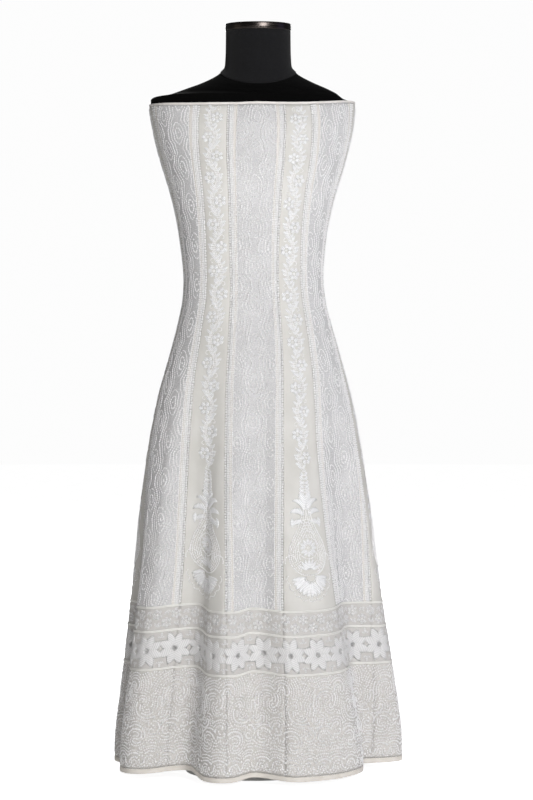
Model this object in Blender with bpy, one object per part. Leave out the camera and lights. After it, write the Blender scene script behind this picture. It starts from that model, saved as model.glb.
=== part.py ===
"""Anarkali gown of twelve kalis, worn by a limbless dress form that stands on a disc base.

Metres, +Z up. The origin is the middle of the base's underside and the form faces -Y.
Azimuth is the angle round the upright axis from the form's front, positive towards +X.
The gown is a thin wall: a section round the body for each height, pushed in by the folds.
"""

import math

import bmesh
import bpy
import numpy as np

# Cloth
KALI_PAIRS = 6  # one close-worked kali and one vine kali in each pair
CLOTH_WALL = 0.0012
SEAM_GAP = 0.0003
LIFT_OFF = 0.0003  # what is sewn on a panel starts this far outside it
BINDING_HEIGHT = 0.0040
BINDING_WALL = 0.0016
TAPE_HEIGHT = 0.0042
TAPE_WALL = 0.0011
HEM_BAND_HEIGHT = 0.0085
HEM_BAND_WALL = 0.0018

# Heights above the floor
TOP_EDGE = 1.2136
HEM_EDGE = 0.0100
FORM_BOTTOM = 0.6900

# Mesh density
CLOSE_WORKED_COLUMNS = 7
VINE_COLUMNS = 8
FORM_SIDES = 40
FORM_RING_STEP = 0.0260
FORM_FIRST_RING = 0.7120
FORM_LAST_RING = 1.2060
ROUND_BAR_SIDES = 32
BASE_SIDES = 64
SECTION_SAMPLES = 1440
SMOOTH_BELOW = 40.0  # an edge sharper than this many degrees shows as an edge
NORMAL_STEP = 1e-3

# The side that the straight top edge is levelled for
VIEWED_AZIMUTH = -15.0


def table(columns, *rows):
    """A short table as one array for each named column."""
    return {name: np.array(values, float) for name, values in zip(columns, zip(*rows))}


# Outline of the gown at each height, folds left out: half the width, how far the front and the
# back stand from the section's centre, where that centre lies, and how square the outline is.
GOWN_SECTIONS = table(
    ("height", "half_width", "front", "back", "centre_x", "centre_y", "squareness"),
    (0.010, 0.2665, 0.220, 0.192, 0.0075, 0.004, 2.00),
    (0.054, 0.2655, 0.217, 0.189, 0.0075, 0.004, 2.00),
    (0.163, 0.2525, 0.205, 0.179, 0.0065, 0.003, 2.00),
    (0.272, 0.2375, 0.191, 0.169, 0.0040, 0.002, 2.00),
    (0.381, 0.2235, 0.176, 0.160, 0.0030, 0.002, 2.00),
    (0.490, 0.2105, 0.162, 0.151, 0.0015, 0.001, 2.00),
    (0.581, 0.1970, 0.149, 0.143, 0.0010, 0.001, 2.00),
    (0.672, 0.1790, 0.134, 0.134, 0.0010, 0.001, 2.05),
    (0.763, 0.1530, 0.115, 0.120, 0.0010, 0.000, 2.15),
    (0.8175, 0.1375, 0.101, 0.106, 0.0000, 0.000, 2.30),
    (0.854, 0.1295, 0.094, 0.097, -0.0010, 0.000, 2.35),
    (0.890, 0.1265, 0.091, 0.092, -0.0020, 0.000, 2.40),
    (0.963, 0.1330, 0.100, 0.088, -0.0035, 0.001, 2.35),
    (1.0356, 0.1480, 0.115, 0.088, -0.0030, 0.004, 2.30),
    (1.108, 0.1700, 0.131, 0.093, -0.0025, 0.007, 2.35),
    (1.163, 0.1840, 0.126, 0.094, -0.0015, 0.010, 2.35),
    (1.199, 0.1900, 0.114, 0.091, -0.0010, 0.012, 2.30),
    (1.2156, 0.1905, 0.107, 0.088, -0.0010, 0.012, 2.30),
)

# How far the form's skin lies inside the gown's outer face, wall and ease together.
FORM_INSETS = table(
    ("height", "inset"),
    (0.690, 0.0210),
    (0.725, 0.0145),
    (0.763, 0.0095),
    (0.800, 0.0064),
    (0.840, 0.0046),
    (0.890, 0.0030),
    (1.036, 0.0030),
    (1.108, 0.0038),
    (1.175, 0.0036),
    (1.2156, 0.0026),
)

# The form above the gown, from the shoulder's edge to the seam at the neck's foot.
SHOULDER_SECTIONS = table(
    ("height", "half_width", "front", "back", "centre", "squareness", "front_dip"),
    (1.2160, 0.1870, 0.105, 0.086, 0.012, 2.30, 0.000),
    (1.2210, 0.1680, 0.102, 0.083, 0.010, 2.30, 0.003),
    (1.2322, 0.1446, 0.090, 0.084, -0.005, 2.20, 0.009),
    (1.2415, 0.1257, 0.080, 0.080, -0.015, 2.10, 0.015),
    (1.2512, 0.1058, 0.073, 0.075, -0.022, 2.00, 0.022),
    (1.2635, 0.0850, 0.069, 0.070, -0.025, 2.00, 0.031),
    (1.2725, 0.0730, 0.067, 0.066, -0.025, 2.00, 0.038),
    (1.2776, 0.0685, 0.0655, 0.064, -0.025, 2.00, 0.0426),
)

# The neck above that seam, which it starts on: round, tilted a little forward at its top.
NECK_SECTIONS = table(
    ("height", "radius", "front_dip", "tilt"),
    (1.2850, 0.0612, 0.034, 0.000),
    (1.2960, 0.0594, 0.018, 0.001),
    (1.3100, 0.0588, 0.006, 0.002),
    (1.3385, 0.0585, 0.000, 0.004),
)
SHOULDERS_TURNED = (1.2160, 1.2322)  # between these heights the form turns to the viewed side
NECK_CENTRE = -0.025
NECK_RING_HEIGHT = 0.0125
NECK_RING_PROUD = 0.0008
NECK_RING_WALL = 0.0040
NECK_CAP_SUNK = 0.0015

# Folds of the skirt: azimuth at the hem and where the fold dies out, the angle it takes before
# and after its trough, how deep it is pressed in at the hem, how much its two ridges close over
# it, how far its foot is pulled sideways, and the height where it dies out.
SKIRT_FOLDS = table(
    ("azimuth", "azimuth_above", "before", "after", "depth", "pinch", "lean", "dies_out"),
    (-92.0, -88.0, 11.0, 11.0, 0.026, 0.006, 0.000, 0.60),
    (-60.5, -52.0, 17.0, 31.0, 0.066, 0.003, 0.000, 0.84),
    (-15.0, -13.0, 18.0, 19.0, 0.036, 0.000, 0.000, 0.84),
    (66.0, 47.0, 36.0, 14.0, 0.065, 0.004, 0.000, 0.72),
    (100.0, 96.0, 14.0, 14.0, 0.034, 0.008, 0.000, 0.66),
    (128.0, 124.0, 14.0, 14.0, 0.044, 0.010, 0.004, 0.76),
    (157.0, 155.0, 15.0, 13.0, 0.036, 0.008, 0.000, 0.84),
    (-176.0, -172.0, 13.0, 14.0, 0.042, 0.010, -0.004, 0.82),
    (-149.0, -148.0, 13.0, 13.0, 0.038, 0.009, 0.000, 0.78),
    (-123.0, -122.0, 13.0, 14.0, 0.042, 0.010, 0.004, 0.70),
)

# How far the hem is hitched up above its lowest stretch, by azimuth.
HEM_LIFTS = table(
    ("azimuth", "lift"),
    (-180.0, 0.003),
    (-130.0, 0.006),
    (-104.0, 0.009),
    (-90.0, 0.006),
    (-80.0, 0.002),
    (-72.0, 0.003),
    (-64.0, 0.008),
    (-54.0, 0.010),
    (-46.0, 0.005),
    (-38.0, 0.000),
    (-27.0, 0.000),
    (-18.0, 0.0055),
    (-8.0, 0.003),
    (4.0, 0.000),
    (22.0, 0.001),
    (36.0, 0.005),
    (50.0, 0.006),
    (74.0, 0.004),
    (120.0, 0.005),
    (180.0, 0.003),
)
LIFT_FULL_BELOW = 0.36
LIFT_NONE_ABOVE = 0.80

# How far the top edge dips, by azimuth: as seen it runs straight across from side to side.
TOP_DIPS = table(
    ("azimuth", "dip"),
    (-180.0, 0.0000),
    (-150.0, 0.0010),
    (-126.0, 0.0040),
    (-105.0, 0.0090),
    (-76.0, 0.0160),
    (-52.0, 0.0192),
    (-30.0, 0.0186),
    (-10.0, 0.0162),
    (10.0, 0.0156),
    (25.0, 0.0144),
    (45.0, 0.0104),
    (75.0, 0.0010),
    (90.0, 0.0000),
    (180.0, 0.0000),
)
TOP_DIP_ENDS = 1.06

# How the twelve kalis share a row: the azimuth of the front kali's middle, the part of a pair
# that the close-worked kali takes, as it is a straight strip while the vine flares, and how much
# wider than the side pairs the front and back pairs are.
PAIR_SHARES = table(
    ("height", "front_azimuth", "close_worked", "front_gain"),
    (0.010, -16.8, 0.430, -0.080),
    (0.310, -16.8, 0.500, -0.080),
    (0.600, -16.0, 0.590, -0.010),
    (0.890, -13.3, 0.630, 0.150),
    (1.100, -11.8, 0.655, 0.020),
    (1.2156, -10.8, 0.667, -0.050),
)

# How the folds gather strength towards the hem, and how far their ridges reach over a trough.
FOLD_GROWTH = 1.3
PINCH_REACH = 1.3
FRONT_DIP_FALL = 1.5  # how quickly the neck seam rises away from the front

# Rows of the kalis from the top edge to the hem band. The border's tapes lie on three close pairs.
FITTED_ROWS = (1.185, 1.150, 1.108, 1.060, 1.005, 0.945, 0.890, 0.845, 0.795)
FLARED_ROWS = (0.725, 0.655, 0.590, 0.450)
BORDER_ROWS = (0.225, 0.110)
TAPES_FROM_TOP = (0.3040, 0.2615, 0.1950)

# Stand
POLE_RADIUS = 0.0140
SOCKET_WALL = 0.0045
SOCKET_HEIGHT = 0.0700
FLANGE_RADIUS = 0.0420
FLANGE_HEIGHT = 0.0050
BOARD_HEIGHT = 0.0120
BOARD_MARGIN = 0.0040
BASE_RADIUS = 0.1250
BASE_HEIGHT = 0.0080
BASE_EDGE = 0.0015
HUB_RADIUS = 0.0300
HUB_HEIGHT = 0.0220
HUB_EDGE = 0.0120


def curve_through(places, values, at):
    """Cubic through (places, values) that never overshoots them, read at the given places."""
    step = np.diff(places)
    rise = np.diff(values) / step
    both = rise[:-1] * rise[1:]
    total = rise[:-1] + rise[1:]
    slope = np.empty(len(values))
    slope[0], slope[-1] = rise[0], rise[-1]
    slope[1:-1] = np.where(both > 0, 2 * both / np.where(both > 0, total, 1.0), 0.0)
    at = np.clip(at, places[0], places[-1])
    k = np.clip(np.searchsorted(places, at, side="right") - 1, 0, len(step) - 1)
    s = (at - places[k]) / step[k]
    start, end = values[k], values[k + 1]
    return (
        start * (1 + 2 * s) * (1 - s) ** 2
        + end * s * s * (3 - 2 * s)
        + slope[k] * step[k] * s * (1 - s) ** 2
        - slope[k + 1] * step[k] * s * s * (1 - s)
    )


def read(rows, column, height):
    """One column of a table, smoothly between its rows."""
    return curve_through(rows["height"], rows[column], height)


def ease(value, low, high):
    """0 below low, 1 above high, and smooth between."""
    s = np.clip((value - low) / (high - low), 0.0, 1.0)
    return s * s * (3 - 2 * s)


def outward(azimuth):
    """Unit vector away from the axis, in plan."""
    return np.stack([np.sin(azimuth), -np.cos(azimuth)], axis=-1)


def sideways(azimuth):
    """Unit vector along the section, in plan."""
    return np.stack([np.cos(azimuth), np.sin(azimuth)], axis=-1)


def oval_radius(azimuth, half_width, front, back, squareness):
    """Distance from the section's centre to a squared oval with its own front and back."""
    depth = np.where(np.cos(azimuth) > 0, front, back)
    across = (np.abs(np.sin(azimuth)) / half_width) ** squareness
    along = (np.abs(np.cos(azimuth)) / depth) ** squareness
    return (across + along) ** (-1 / squareness)


def turn_between(azimuth, middle):
    """Signed angle in degrees from middle to azimuth, the short way round."""
    return (np.degrees(azimuth) - middle + 180) % 360 - 180


def fold_offsets(azimuth, height):
    """How far the folds press the cloth in, and push it sideways, at each azimuth and height."""
    pressed = np.zeros(np.broadcast(azimuth, height).shape)
    pushed = np.zeros_like(pressed)
    for row in range(len(SKIRT_FOLDS["azimuth"])):
        fold = {name: values[row] for name, values in SKIRT_FOLDS.items()}
        hanging = np.clip((fold["dies_out"] - height) / (fold["dies_out"] - HEM_EDGE), 0, 1)
        strength = np.sin(0.5 * math.pi * hanging) ** FOLD_GROWTH
        middle = fold["azimuth"] + (fold["azimuth_above"] - fold["azimuth"]) * (1 - hanging)
        turn = turn_between(azimuth, middle)
        across = np.clip(turn / np.where(turn < 0, fold["before"], fold["after"]), -1, 1)
        trough = 0.5 + 0.5 * np.cos(math.pi * across)
        closing = -PINCH_REACH * fold["pinch"] * np.sin(math.pi * across) * (1 - trough)
        pressed += fold["depth"] * strength * trough
        pushed += strength * (closing + fold["lean"] * trough)
    return pressed, pushed


def row_height(azimuth, row):
    """Height of a point on the cloth's row: rows are level but for the hitched hem and top dip."""
    lift = curve_through(
        HEM_LIFTS["azimuth"], HEM_LIFTS["lift"], turn_between(azimuth, 0.0)
    )
    lift = lift * (1 - ease(row, LIFT_FULL_BELOW, LIFT_NONE_ABOVE))
    dip = curve_through(TOP_DIPS["azimuth"], TOP_DIPS["dip"], turn_between(azimuth, 0.0))
    return row + lift - dip * ease(row, TOP_DIP_ENDS, TOP_EDGE)


def gown_surface(azimuth, row):
    """Points of the gown's outer face at each azimuth on each row."""
    height = row_height(azimuth, row)
    sizes = {name: read(GOWN_SECTIONS, name, height) for name in GOWN_SECTIONS}
    radius = oval_radius(
        azimuth, sizes["half_width"], sizes["front"], sizes["back"], sizes["squareness"]
    )
    pressed, pushed = fold_offsets(azimuth, height)
    plan = (radius - pressed)[..., None] * outward(azimuth)
    plan = plan + pushed[..., None] * sideways(azimuth)
    return np.stack(
        [plan[..., 0] + sizes["centre_x"], plan[..., 1] + sizes["centre_y"], height], axis=-1
    )


def unit(vectors):
    return vectors / np.linalg.norm(vectors, axis=-1, keepdims=True)


def gown_normals(azimuth, row):
    """Outward normals of the gown's outer face, from small steps along and across it."""
    along = gown_surface(azimuth + NORMAL_STEP, row) - gown_surface(azimuth - NORMAL_STEP, row)
    above = np.minimum(row + NORMAL_STEP, TOP_EDGE)
    up = gown_surface(azimuth, above) - gown_surface(azimuth, row - NORMAL_STEP)
    return unit(np.cross(along, up))


def seam_shares(row):
    """Shares of the way round the row where each kali starts, and the last one ends."""
    close_worked = read(PAIR_SHARES, "close_worked", row) / KALI_PAIRS
    starts = np.arange(KALI_PAIRS + 1) / KALI_PAIRS - close_worked / 2
    shares = np.sort(np.concatenate([starts, starts[:-1] + close_worked]))
    gain = read(PAIR_SHARES, "front_gain", row)
    return shares + gain * np.sin(4 * math.pi * shares) / (4 * math.pi)


def azimuths_at(row, shares):
    """Azimuths at the given shares of the row's own length, counted from the front kali's middle."""
    start = math.radians(float(read(PAIR_SHARES, "front_azimuth", row)))
    azimuth = start + np.linspace(0, 2 * math.pi, SECTION_SAMPLES + 1)
    points = gown_surface(azimuth, np.full_like(azimuth, row))
    length = np.concatenate([[0], np.cumsum(np.linalg.norm(np.diff(points, axis=0), axis=1))])
    shares = np.asarray(shares)
    turns = np.floor(shares)
    found = np.interp((shares - turns) * length[-1], length, azimuth)
    return found + turns * 2 * math.pi, length[-1]


def kali_azimuths(index, row, columns):
    """Azimuths of a kali's columns on a row, drawn in by half the seam gap at both edges."""
    starts = seam_shares(row)
    _, length = azimuths_at(row, [0.0])
    inset = SEAM_GAP / 2 / length
    shares = np.linspace(starts[index] + inset, starts[index + 1] - inset, columns + 1)
    return azimuths_at(row, shares)[0]


def ring_azimuths(row):
    """Azimuths all round a row, with the kalis' own columns and one column on each seam."""
    starts = seam_shares(row)
    shares = []
    for index in range(2 * KALI_PAIRS):
        columns = VINE_COLUMNS if index % 2 else CLOSE_WORKED_COLUMNS
        shares.extend(np.linspace(starts[index], starts[index + 1], columns + 1)[:-1])
    return azimuths_at(row, shares)[0]


def panel_rows():
    """Rows of a kali from its top edge to its foot, with a close pair under each border tape."""
    tapes = [height for top in TAPES_FROM_TOP for height in (top, top - TAPE_HEIGHT)]
    heights = [TOP_EDGE, *FITTED_ROWS, *FLARED_ROWS, *tapes, *BORDER_ROWS]
    foot = HEM_EDGE + HEM_BAND_HEIGHT + SEAM_GAP
    return sorted(heights + [foot], reverse=True)


def new_material(name, colour, roughness, metallic=0.0):
    material = bpy.data.materials.new(name)
    material.use_nodes = True
    shader = material.node_tree.nodes["Principled BSDF"]
    shader.inputs["Base Color"].default_value = (*colour, 1.0)
    shader.inputs["Roughness"].default_value = roughness
    shader.inputs["Metallic"].default_value = metallic
    return material


def add_object(name, points, faces, material):
    """A mesh object from points and faces, with its faces turned outwards."""
    mesh = bpy.data.meshes.new(name)
    mesh.from_pydata([tuple(p) for p in points], [], faces)
    work = bmesh.new()
    work.from_mesh(mesh)
    bmesh.ops.recalc_face_normals(work, faces=work.faces)
    bmesh.ops.triangulate(work, faces=work.faces, quad_method="FIXED")
    work.to_mesh(mesh)
    work.free()
    mesh.materials.append(material)
    mesh.shade_smooth()
    mesh.set_sharp_from_angle(angle=math.radians(SMOOTH_BELOW))
    placed = bpy.data.objects.new(name, mesh)
    bpy.context.scene.collection.objects.link(placed)
    return placed


def wall_faces(rows, columns, closed_round):
    """Faces of a wall whose outer grid of points comes first and its inner grid after it."""
    across = columns if closed_round else columns - 1
    inner = rows * columns
    faces = []
    for r in range(rows - 1):
        for c in range(across):
            a, b = r * columns + c, r * columns + (c + 1) % columns
            faces.append((a, b, b + columns, a + columns))
            faces.append((inner + a, inner + a + columns, inner + b + columns, inner + b))
    for c in range(across):
        top, top_next = c, (c + 1) % columns
        foot, foot_next = (rows - 1) * columns + c, (rows - 1) * columns + (c + 1) % columns
        faces.append((top, inner + top, inner + top_next, top_next))
        faces.append((foot, foot_next, inner + foot_next, inner + foot))
    if not closed_round:
        for r in range(rows - 1):
            for edge in (0, columns - 1):
                a, b = r * columns + edge, (r + 1) * columns + edge
                faces.append((a, b, inner + b, inner + a))
    return faces


def make_wall(name, outer, inner, material, closed_round=False):
    """A closed wall between two grids of points of the same shape."""
    rows, columns = outer.shape[:2]
    points = np.concatenate([outer.reshape(-1, 3), inner.reshape(-1, 3)])
    return add_object(name, points, wall_faces(rows, columns, closed_round), material)


def make_kali(name, index, columns, material):
    """One gore of the gown, a cloth wall from the top edge to the hem band."""
    rows = panel_rows()
    azimuth = np.array([kali_azimuths(index, row, columns) for row in rows])
    level = np.array(rows)[:, None] * np.ones(azimuth.shape[1])
    outer = gown_surface(azimuth, level)
    inner = outer - CLOTH_WALL * gown_normals(azimuth, level)
    return make_wall(name, outer, inner, material)


def make_ring_on_cloth(name, levels, inner_off, outer_off, material):
    """A strip that runs all round the gown between two rows, at two distances from its face."""
    azimuth = np.array([ring_azimuths(row) for row in levels])
    level = np.array(levels)[:, None] * np.ones(azimuth.shape[1])
    face, normals = gown_surface(azimuth, level), gown_normals(azimuth, level)
    return make_wall(
        name, face + outer_off * normals, face + inner_off * normals, material, closed_round=True
    )


def make_top_binding(material):
    """The turned top edge: it stands on the kalis, above the gap that every seam keeps."""
    azimuth = ring_azimuths(TOP_EDGE)
    edge = gown_surface(azimuth, np.full_like(azimuth, TOP_EDGE))
    normals = gown_normals(azimuth, np.full_like(azimuth, TOP_EDGE))
    proud = (BINDING_WALL - CLOTH_WALL) / 2
    outer, inner = [], []
    for height in (SEAM_GAP + BINDING_HEIGHT, SEAM_GAP):
        raised = edge + np.array([0.0, 0.0, height])
        outer.append(raised + proud * normals)
        inner.append(raised - (BINDING_WALL - proud) * normals)
    return make_wall("top_binding", np.array(outer), np.array(inner), material, closed_round=True)


def make_gown(close_worked, vine, plain):
    for pair in range(KALI_PAIRS):
        make_kali(f"close_worked_kali_{pair + 1}", 2 * pair, CLOSE_WORKED_COLUMNS, close_worked)
        make_kali(f"vine_kali_{pair + 1}", 2 * pair + 1, VINE_COLUMNS, vine)
    make_top_binding(plain)
    for number, top in enumerate(TAPES_FROM_TOP, start=1):
        levels = (top, top - TAPE_HEIGHT)
        make_ring_on_cloth(f"border_tape_{number}", levels, LIFT_OFF, LIFT_OFF + TAPE_WALL, plain)
    proud = (HEM_BAND_WALL - CLOTH_WALL) / 2
    levels = (HEM_EDGE + HEM_BAND_HEIGHT, HEM_EDGE)
    make_ring_on_cloth("hem_band", levels, proud - HEM_BAND_WALL, proud, plain)


def make_loft(name, rings, material):
    """A solid through closed rings from its foot to its top, closed by a fan at each end."""
    count = len(rings[0])
    points = list(np.concatenate(rings))
    faces = []
    for r in range(len(rings) - 1):
        for c in range(count):
            a, b = r * count + c, r * count + (c + 1) % count
            faces.append((a, b, b + count, a + count))
    for ring, first in ((rings[0], 0), (rings[-1], (len(rings) - 1) * count)):
        points.append(ring.mean(axis=0))
        middle = len(points) - 1
        for c in range(count):
            faces.append((first + c, first + (c + 1) % count, middle))
    return add_object(name, points, faces, material)


def form_azimuths():
    return np.linspace(0, 2 * math.pi, FORM_SIDES, endpoint=False)


def front_share(azimuth):
    """1 at the very front and 0 at the back, for a line that dips at the front."""
    return (0.5 + 0.5 * np.cos(azimuth)) ** FRONT_DIP_FALL


def torso_ring(height):
    """The form under the gown: the gown's own section drawn in by its wall and ease."""
    azimuth = form_azimuths()
    sizes = {name: read(GOWN_SECTIONS, name, height) for name in GOWN_SECTIONS}
    inset = read(FORM_INSETS, "inset", height)
    radius = oval_radius(
        azimuth,
        sizes["half_width"] - inset,
        sizes["front"] - inset,
        sizes["back"] - inset,
        sizes["squareness"],
    )
    plan = radius[:, None] * outward(azimuth) + [sizes["centre_x"], sizes["centre_y"]]
    return np.column_stack([plan, np.full(FORM_SIDES, height)])


def shoulder_ring(row):
    sizes = {name: values[row] for name, values in SHOULDER_SECTIONS.items()}
    azimuth = form_azimuths()
    turn = math.radians(VIEWED_AZIMUTH) * ease(sizes["height"], *SHOULDERS_TURNED)
    radius = oval_radius(
        azimuth - turn, sizes["half_width"], sizes["front"], sizes["back"], sizes["squareness"]
    )
    plan = radius[:, None] * outward(azimuth)
    height = sizes["height"] - sizes["front_dip"] * front_share(azimuth - turn)
    return np.column_stack([plan[:, 0], plan[:, 1] + sizes["centre"], height])


def neck_ring(height, radius, front_dip, tilt):
    azimuth = form_azimuths()
    plan = radius * outward(azimuth)
    facing = azimuth - math.radians(VIEWED_AZIMUTH)
    level = height - front_dip * front_share(facing) - tilt * np.cos(facing)
    return np.column_stack([plan[:, 0], plan[:, 1] + NECK_CENTRE, level])


def make_form(jersey, neck_jersey, metal, cap_finish):
    """The limbless form: torso, neck, the metal band round its top and the sunk cap."""
    heights = [FORM_BOTTOM, *np.arange(FORM_FIRST_RING, FORM_LAST_RING + SEAM_GAP, FORM_RING_STEP)]
    rings = [torso_ring(height) for height in heights]
    rings += [shoulder_ring(row) for row in range(len(SHOULDER_SECTIONS["height"]))]
    make_loft("form_torso", rings, jersey)

    rows = zip(*(NECK_SECTIONS[name] for name in ("height", "radius", "front_dip", "tilt")))
    seam = rings[-1] + np.array([0.0, 0.0, SEAM_GAP])
    make_loft("form_neck", [seam] + [neck_ring(*row) for row in rows], neck_jersey)

    top, tilt = NECK_SECTIONS["height"][-1], NECK_SECTIONS["tilt"][-1]
    radius = NECK_SECTIONS["radius"][-1] + NECK_RING_PROUD
    band_foot = top + SEAM_GAP
    band_top = band_foot + NECK_RING_HEIGHT
    outer = [neck_ring(height, radius, 0.0, tilt) for height in (band_top, band_foot)]
    inner_radius = radius - NECK_RING_WALL
    inner = [neck_ring(height, inner_radius, 0.0, tilt) for height in (band_top, band_foot)]
    make_wall("neck_band", np.array(outer), np.array(inner), metal, closed_round=True)

    cap_radius = inner_radius - SEAM_GAP
    cap = [
        neck_ring(height, cap_radius, 0.0, tilt)
        for height in (band_foot, band_top - NECK_CAP_SUNK)
    ]
    make_loft("neck_cap", cap, cap_finish)


def make_turned(name, outline, material):
    """A ring about the Z axis: its closed outline of (radius, height) is carried round it."""
    azimuth = np.linspace(0, 2 * math.pi, ROUND_BAR_SIDES, endpoint=False)
    rings = []
    for radius, height in outline:
        plan = radius * outward(azimuth)
        rings.append(np.column_stack([plan, np.full(ROUND_BAR_SIDES, height)]))
    faces = []
    for r in range(len(outline)):
        first, following = r * ROUND_BAR_SIDES, (r + 1) % len(outline) * ROUND_BAR_SIDES
        for c in range(ROUND_BAR_SIDES):
            d = (c + 1) % ROUND_BAR_SIDES
            faces.append((first + c, first + d, following + d, following + c))
    return add_object(name, np.concatenate(rings), faces, material)


def ring_outline(inner, outer, foot, top, edge=0.0):
    """Outline of a turned ring with its outer corners cut back by edge."""
    if not edge:
        return [(inner, foot), (outer, foot), (outer, top), (inner, top)]
    return [
        (inner, foot),
        (outer, foot),
        (outer, top - edge),
        (outer - edge, top),
        (inner, top),
    ]


def make_disc(name, radius, foot, top, material, edge=0.0, sides=FORM_SIDES):
    """A flat round plate, its top corner cut back by edge."""
    azimuth = np.linspace(0, 2 * math.pi, sides, endpoint=False)
    levels = [(radius, foot), (radius - edge, top)]
    if edge:
        levels.insert(1, (radius, top - edge))
    rings = []
    for ring_radius, height in levels:
        plan = ring_radius * outward(azimuth)
        rings.append(np.column_stack([plan, np.full(sides, height)]))
    return make_loft(name, rings, material)


def make_stand(steel, board):
    """What carries the form out of sight: bottom board, flange, socket, pole, hub and base."""
    board_top = FORM_BOTTOM - SEAM_GAP
    board_foot = board_top - BOARD_HEIGHT
    ring = torso_ring(FORM_BOTTOM)
    shrink = 1 - BOARD_MARGIN / ring[:, 0].max()
    rings = []
    for height in (board_foot, board_top):
        plate = ring * np.array([shrink, shrink, 0.0])
        rings.append(plate + np.array([0.0, 0.0, height]))
    make_loft("bottom_board", rings, board)

    flange_top = board_foot - SEAM_GAP
    flange_foot = flange_top - FLANGE_HEIGHT
    make_disc("pole_flange", FLANGE_RADIUS, flange_foot, flange_top, steel)

    bore = POLE_RADIUS + SEAM_GAP
    socket_top = flange_foot - SEAM_GAP
    outline = ring_outline(bore, bore + SOCKET_WALL, socket_top - SOCKET_HEIGHT, socket_top)
    make_turned("pole_socket", outline, steel)

    make_disc("base_plate", BASE_RADIUS, 0.0, BASE_HEIGHT, steel, edge=BASE_EDGE, sides=BASE_SIDES)
    pole_foot = BASE_HEIGHT + SEAM_GAP
    make_disc("pole", POLE_RADIUS, pole_foot, socket_top, steel, sides=ROUND_BAR_SIDES)
    outline = ring_outline(bore, HUB_RADIUS, pole_foot, pole_foot + HUB_HEIGHT, edge=HUB_EDGE)
    make_turned("base_hub", outline, steel)


def main():
    for old in list(bpy.data.objects):
        bpy.data.objects.remove(old)
    close_worked = new_material("close_worked_georgette", (0.68, 0.68, 0.69), 0.85)
    vine = new_material("vine_georgette", (0.64, 0.63, 0.61), 0.80)
    plain = new_material("plain_georgette", (0.66, 0.64, 0.60), 0.75)
    jersey = new_material("black_jersey", (0.006, 0.006, 0.006), 0.90)
    neck_jersey = new_material("neck_jersey", (0.014, 0.014, 0.015), 0.85)
    metal = new_material("dark_chrome", (0.20, 0.19, 0.19), 0.15, metallic=1.0)
    cap_finish = new_material("black_cap", (0.02, 0.02, 0.02), 0.40)
    steel = new_material("white_steel", (0.80, 0.80, 0.79), 0.45)
    board = new_material("black_board", (0.03, 0.03, 0.03), 0.70)
    make_gown(close_worked, vine, plain)
    make_form(jersey, neck_jersey, metal, cap_finish)
    make_stand(steel, board)


main()
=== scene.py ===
"""Anarkali gown of embroidered georgette on a black dress form.

Metres, +Z up, the form faces -Y and its stand is on the floor at zero. The gown's outline, folds
and kalis come from the same tables as its solids. On that cloth lie the stitches, each a small
raised mark: dotted rows along the level lines of a pattern, satin petals and leaves, cords and
beads.
"""

import math

import bpy
import numpy as np
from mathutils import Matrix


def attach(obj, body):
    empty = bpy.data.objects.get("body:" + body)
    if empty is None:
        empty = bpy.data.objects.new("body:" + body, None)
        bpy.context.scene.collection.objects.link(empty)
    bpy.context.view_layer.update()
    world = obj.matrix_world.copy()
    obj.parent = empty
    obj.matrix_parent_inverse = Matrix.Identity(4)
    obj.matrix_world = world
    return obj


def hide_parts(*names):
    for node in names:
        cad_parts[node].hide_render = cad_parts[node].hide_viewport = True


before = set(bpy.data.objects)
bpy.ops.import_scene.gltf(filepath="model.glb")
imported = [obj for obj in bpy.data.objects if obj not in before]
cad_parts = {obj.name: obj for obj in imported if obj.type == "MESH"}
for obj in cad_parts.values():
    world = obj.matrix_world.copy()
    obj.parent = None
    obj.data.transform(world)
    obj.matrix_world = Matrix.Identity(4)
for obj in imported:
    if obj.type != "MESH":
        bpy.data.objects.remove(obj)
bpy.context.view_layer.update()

# Cloth
KALI_PAIRS = 6
CLOTH_WALL = 0.0010
SEAM_GAP = 0.0003
TAPE_HEIGHT = 0.0042
HEM_BAND_HEIGHT = 0.0085
HEM_BAND_FACES = (-0.0014, 0.0004)  # its inner and outer face, out from the cloth's own
BINDING_HEIGHT = 0.0040
BINDING_FACES = (-0.0013, 0.0003)
STRIP_EDGE = 0.0006  # radius of the rounded edges of both

# Heights above the floor
TOP_EDGE = 1.2136
HEM_EDGE = 0.0100
PANEL_FOOT = HEM_EDGE + HEM_BAND_HEIGHT + SEAM_GAP
FORM_BOTTOM = 0.6900
VIEWED_AZIMUTH = -15.0

# Mesh density
PANEL_ROWS = 172
CLOSE_WORKED_COLUMNS = 22
VINE_COLUMNS = 20
SECTION_SAMPLES = 1440
FORM_SIDES = 144


def table(columns, *rows):
    """A short table as one array for each named column."""
    return {name: np.array(values, float) for name, values in zip(columns, zip(*rows))}


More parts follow.
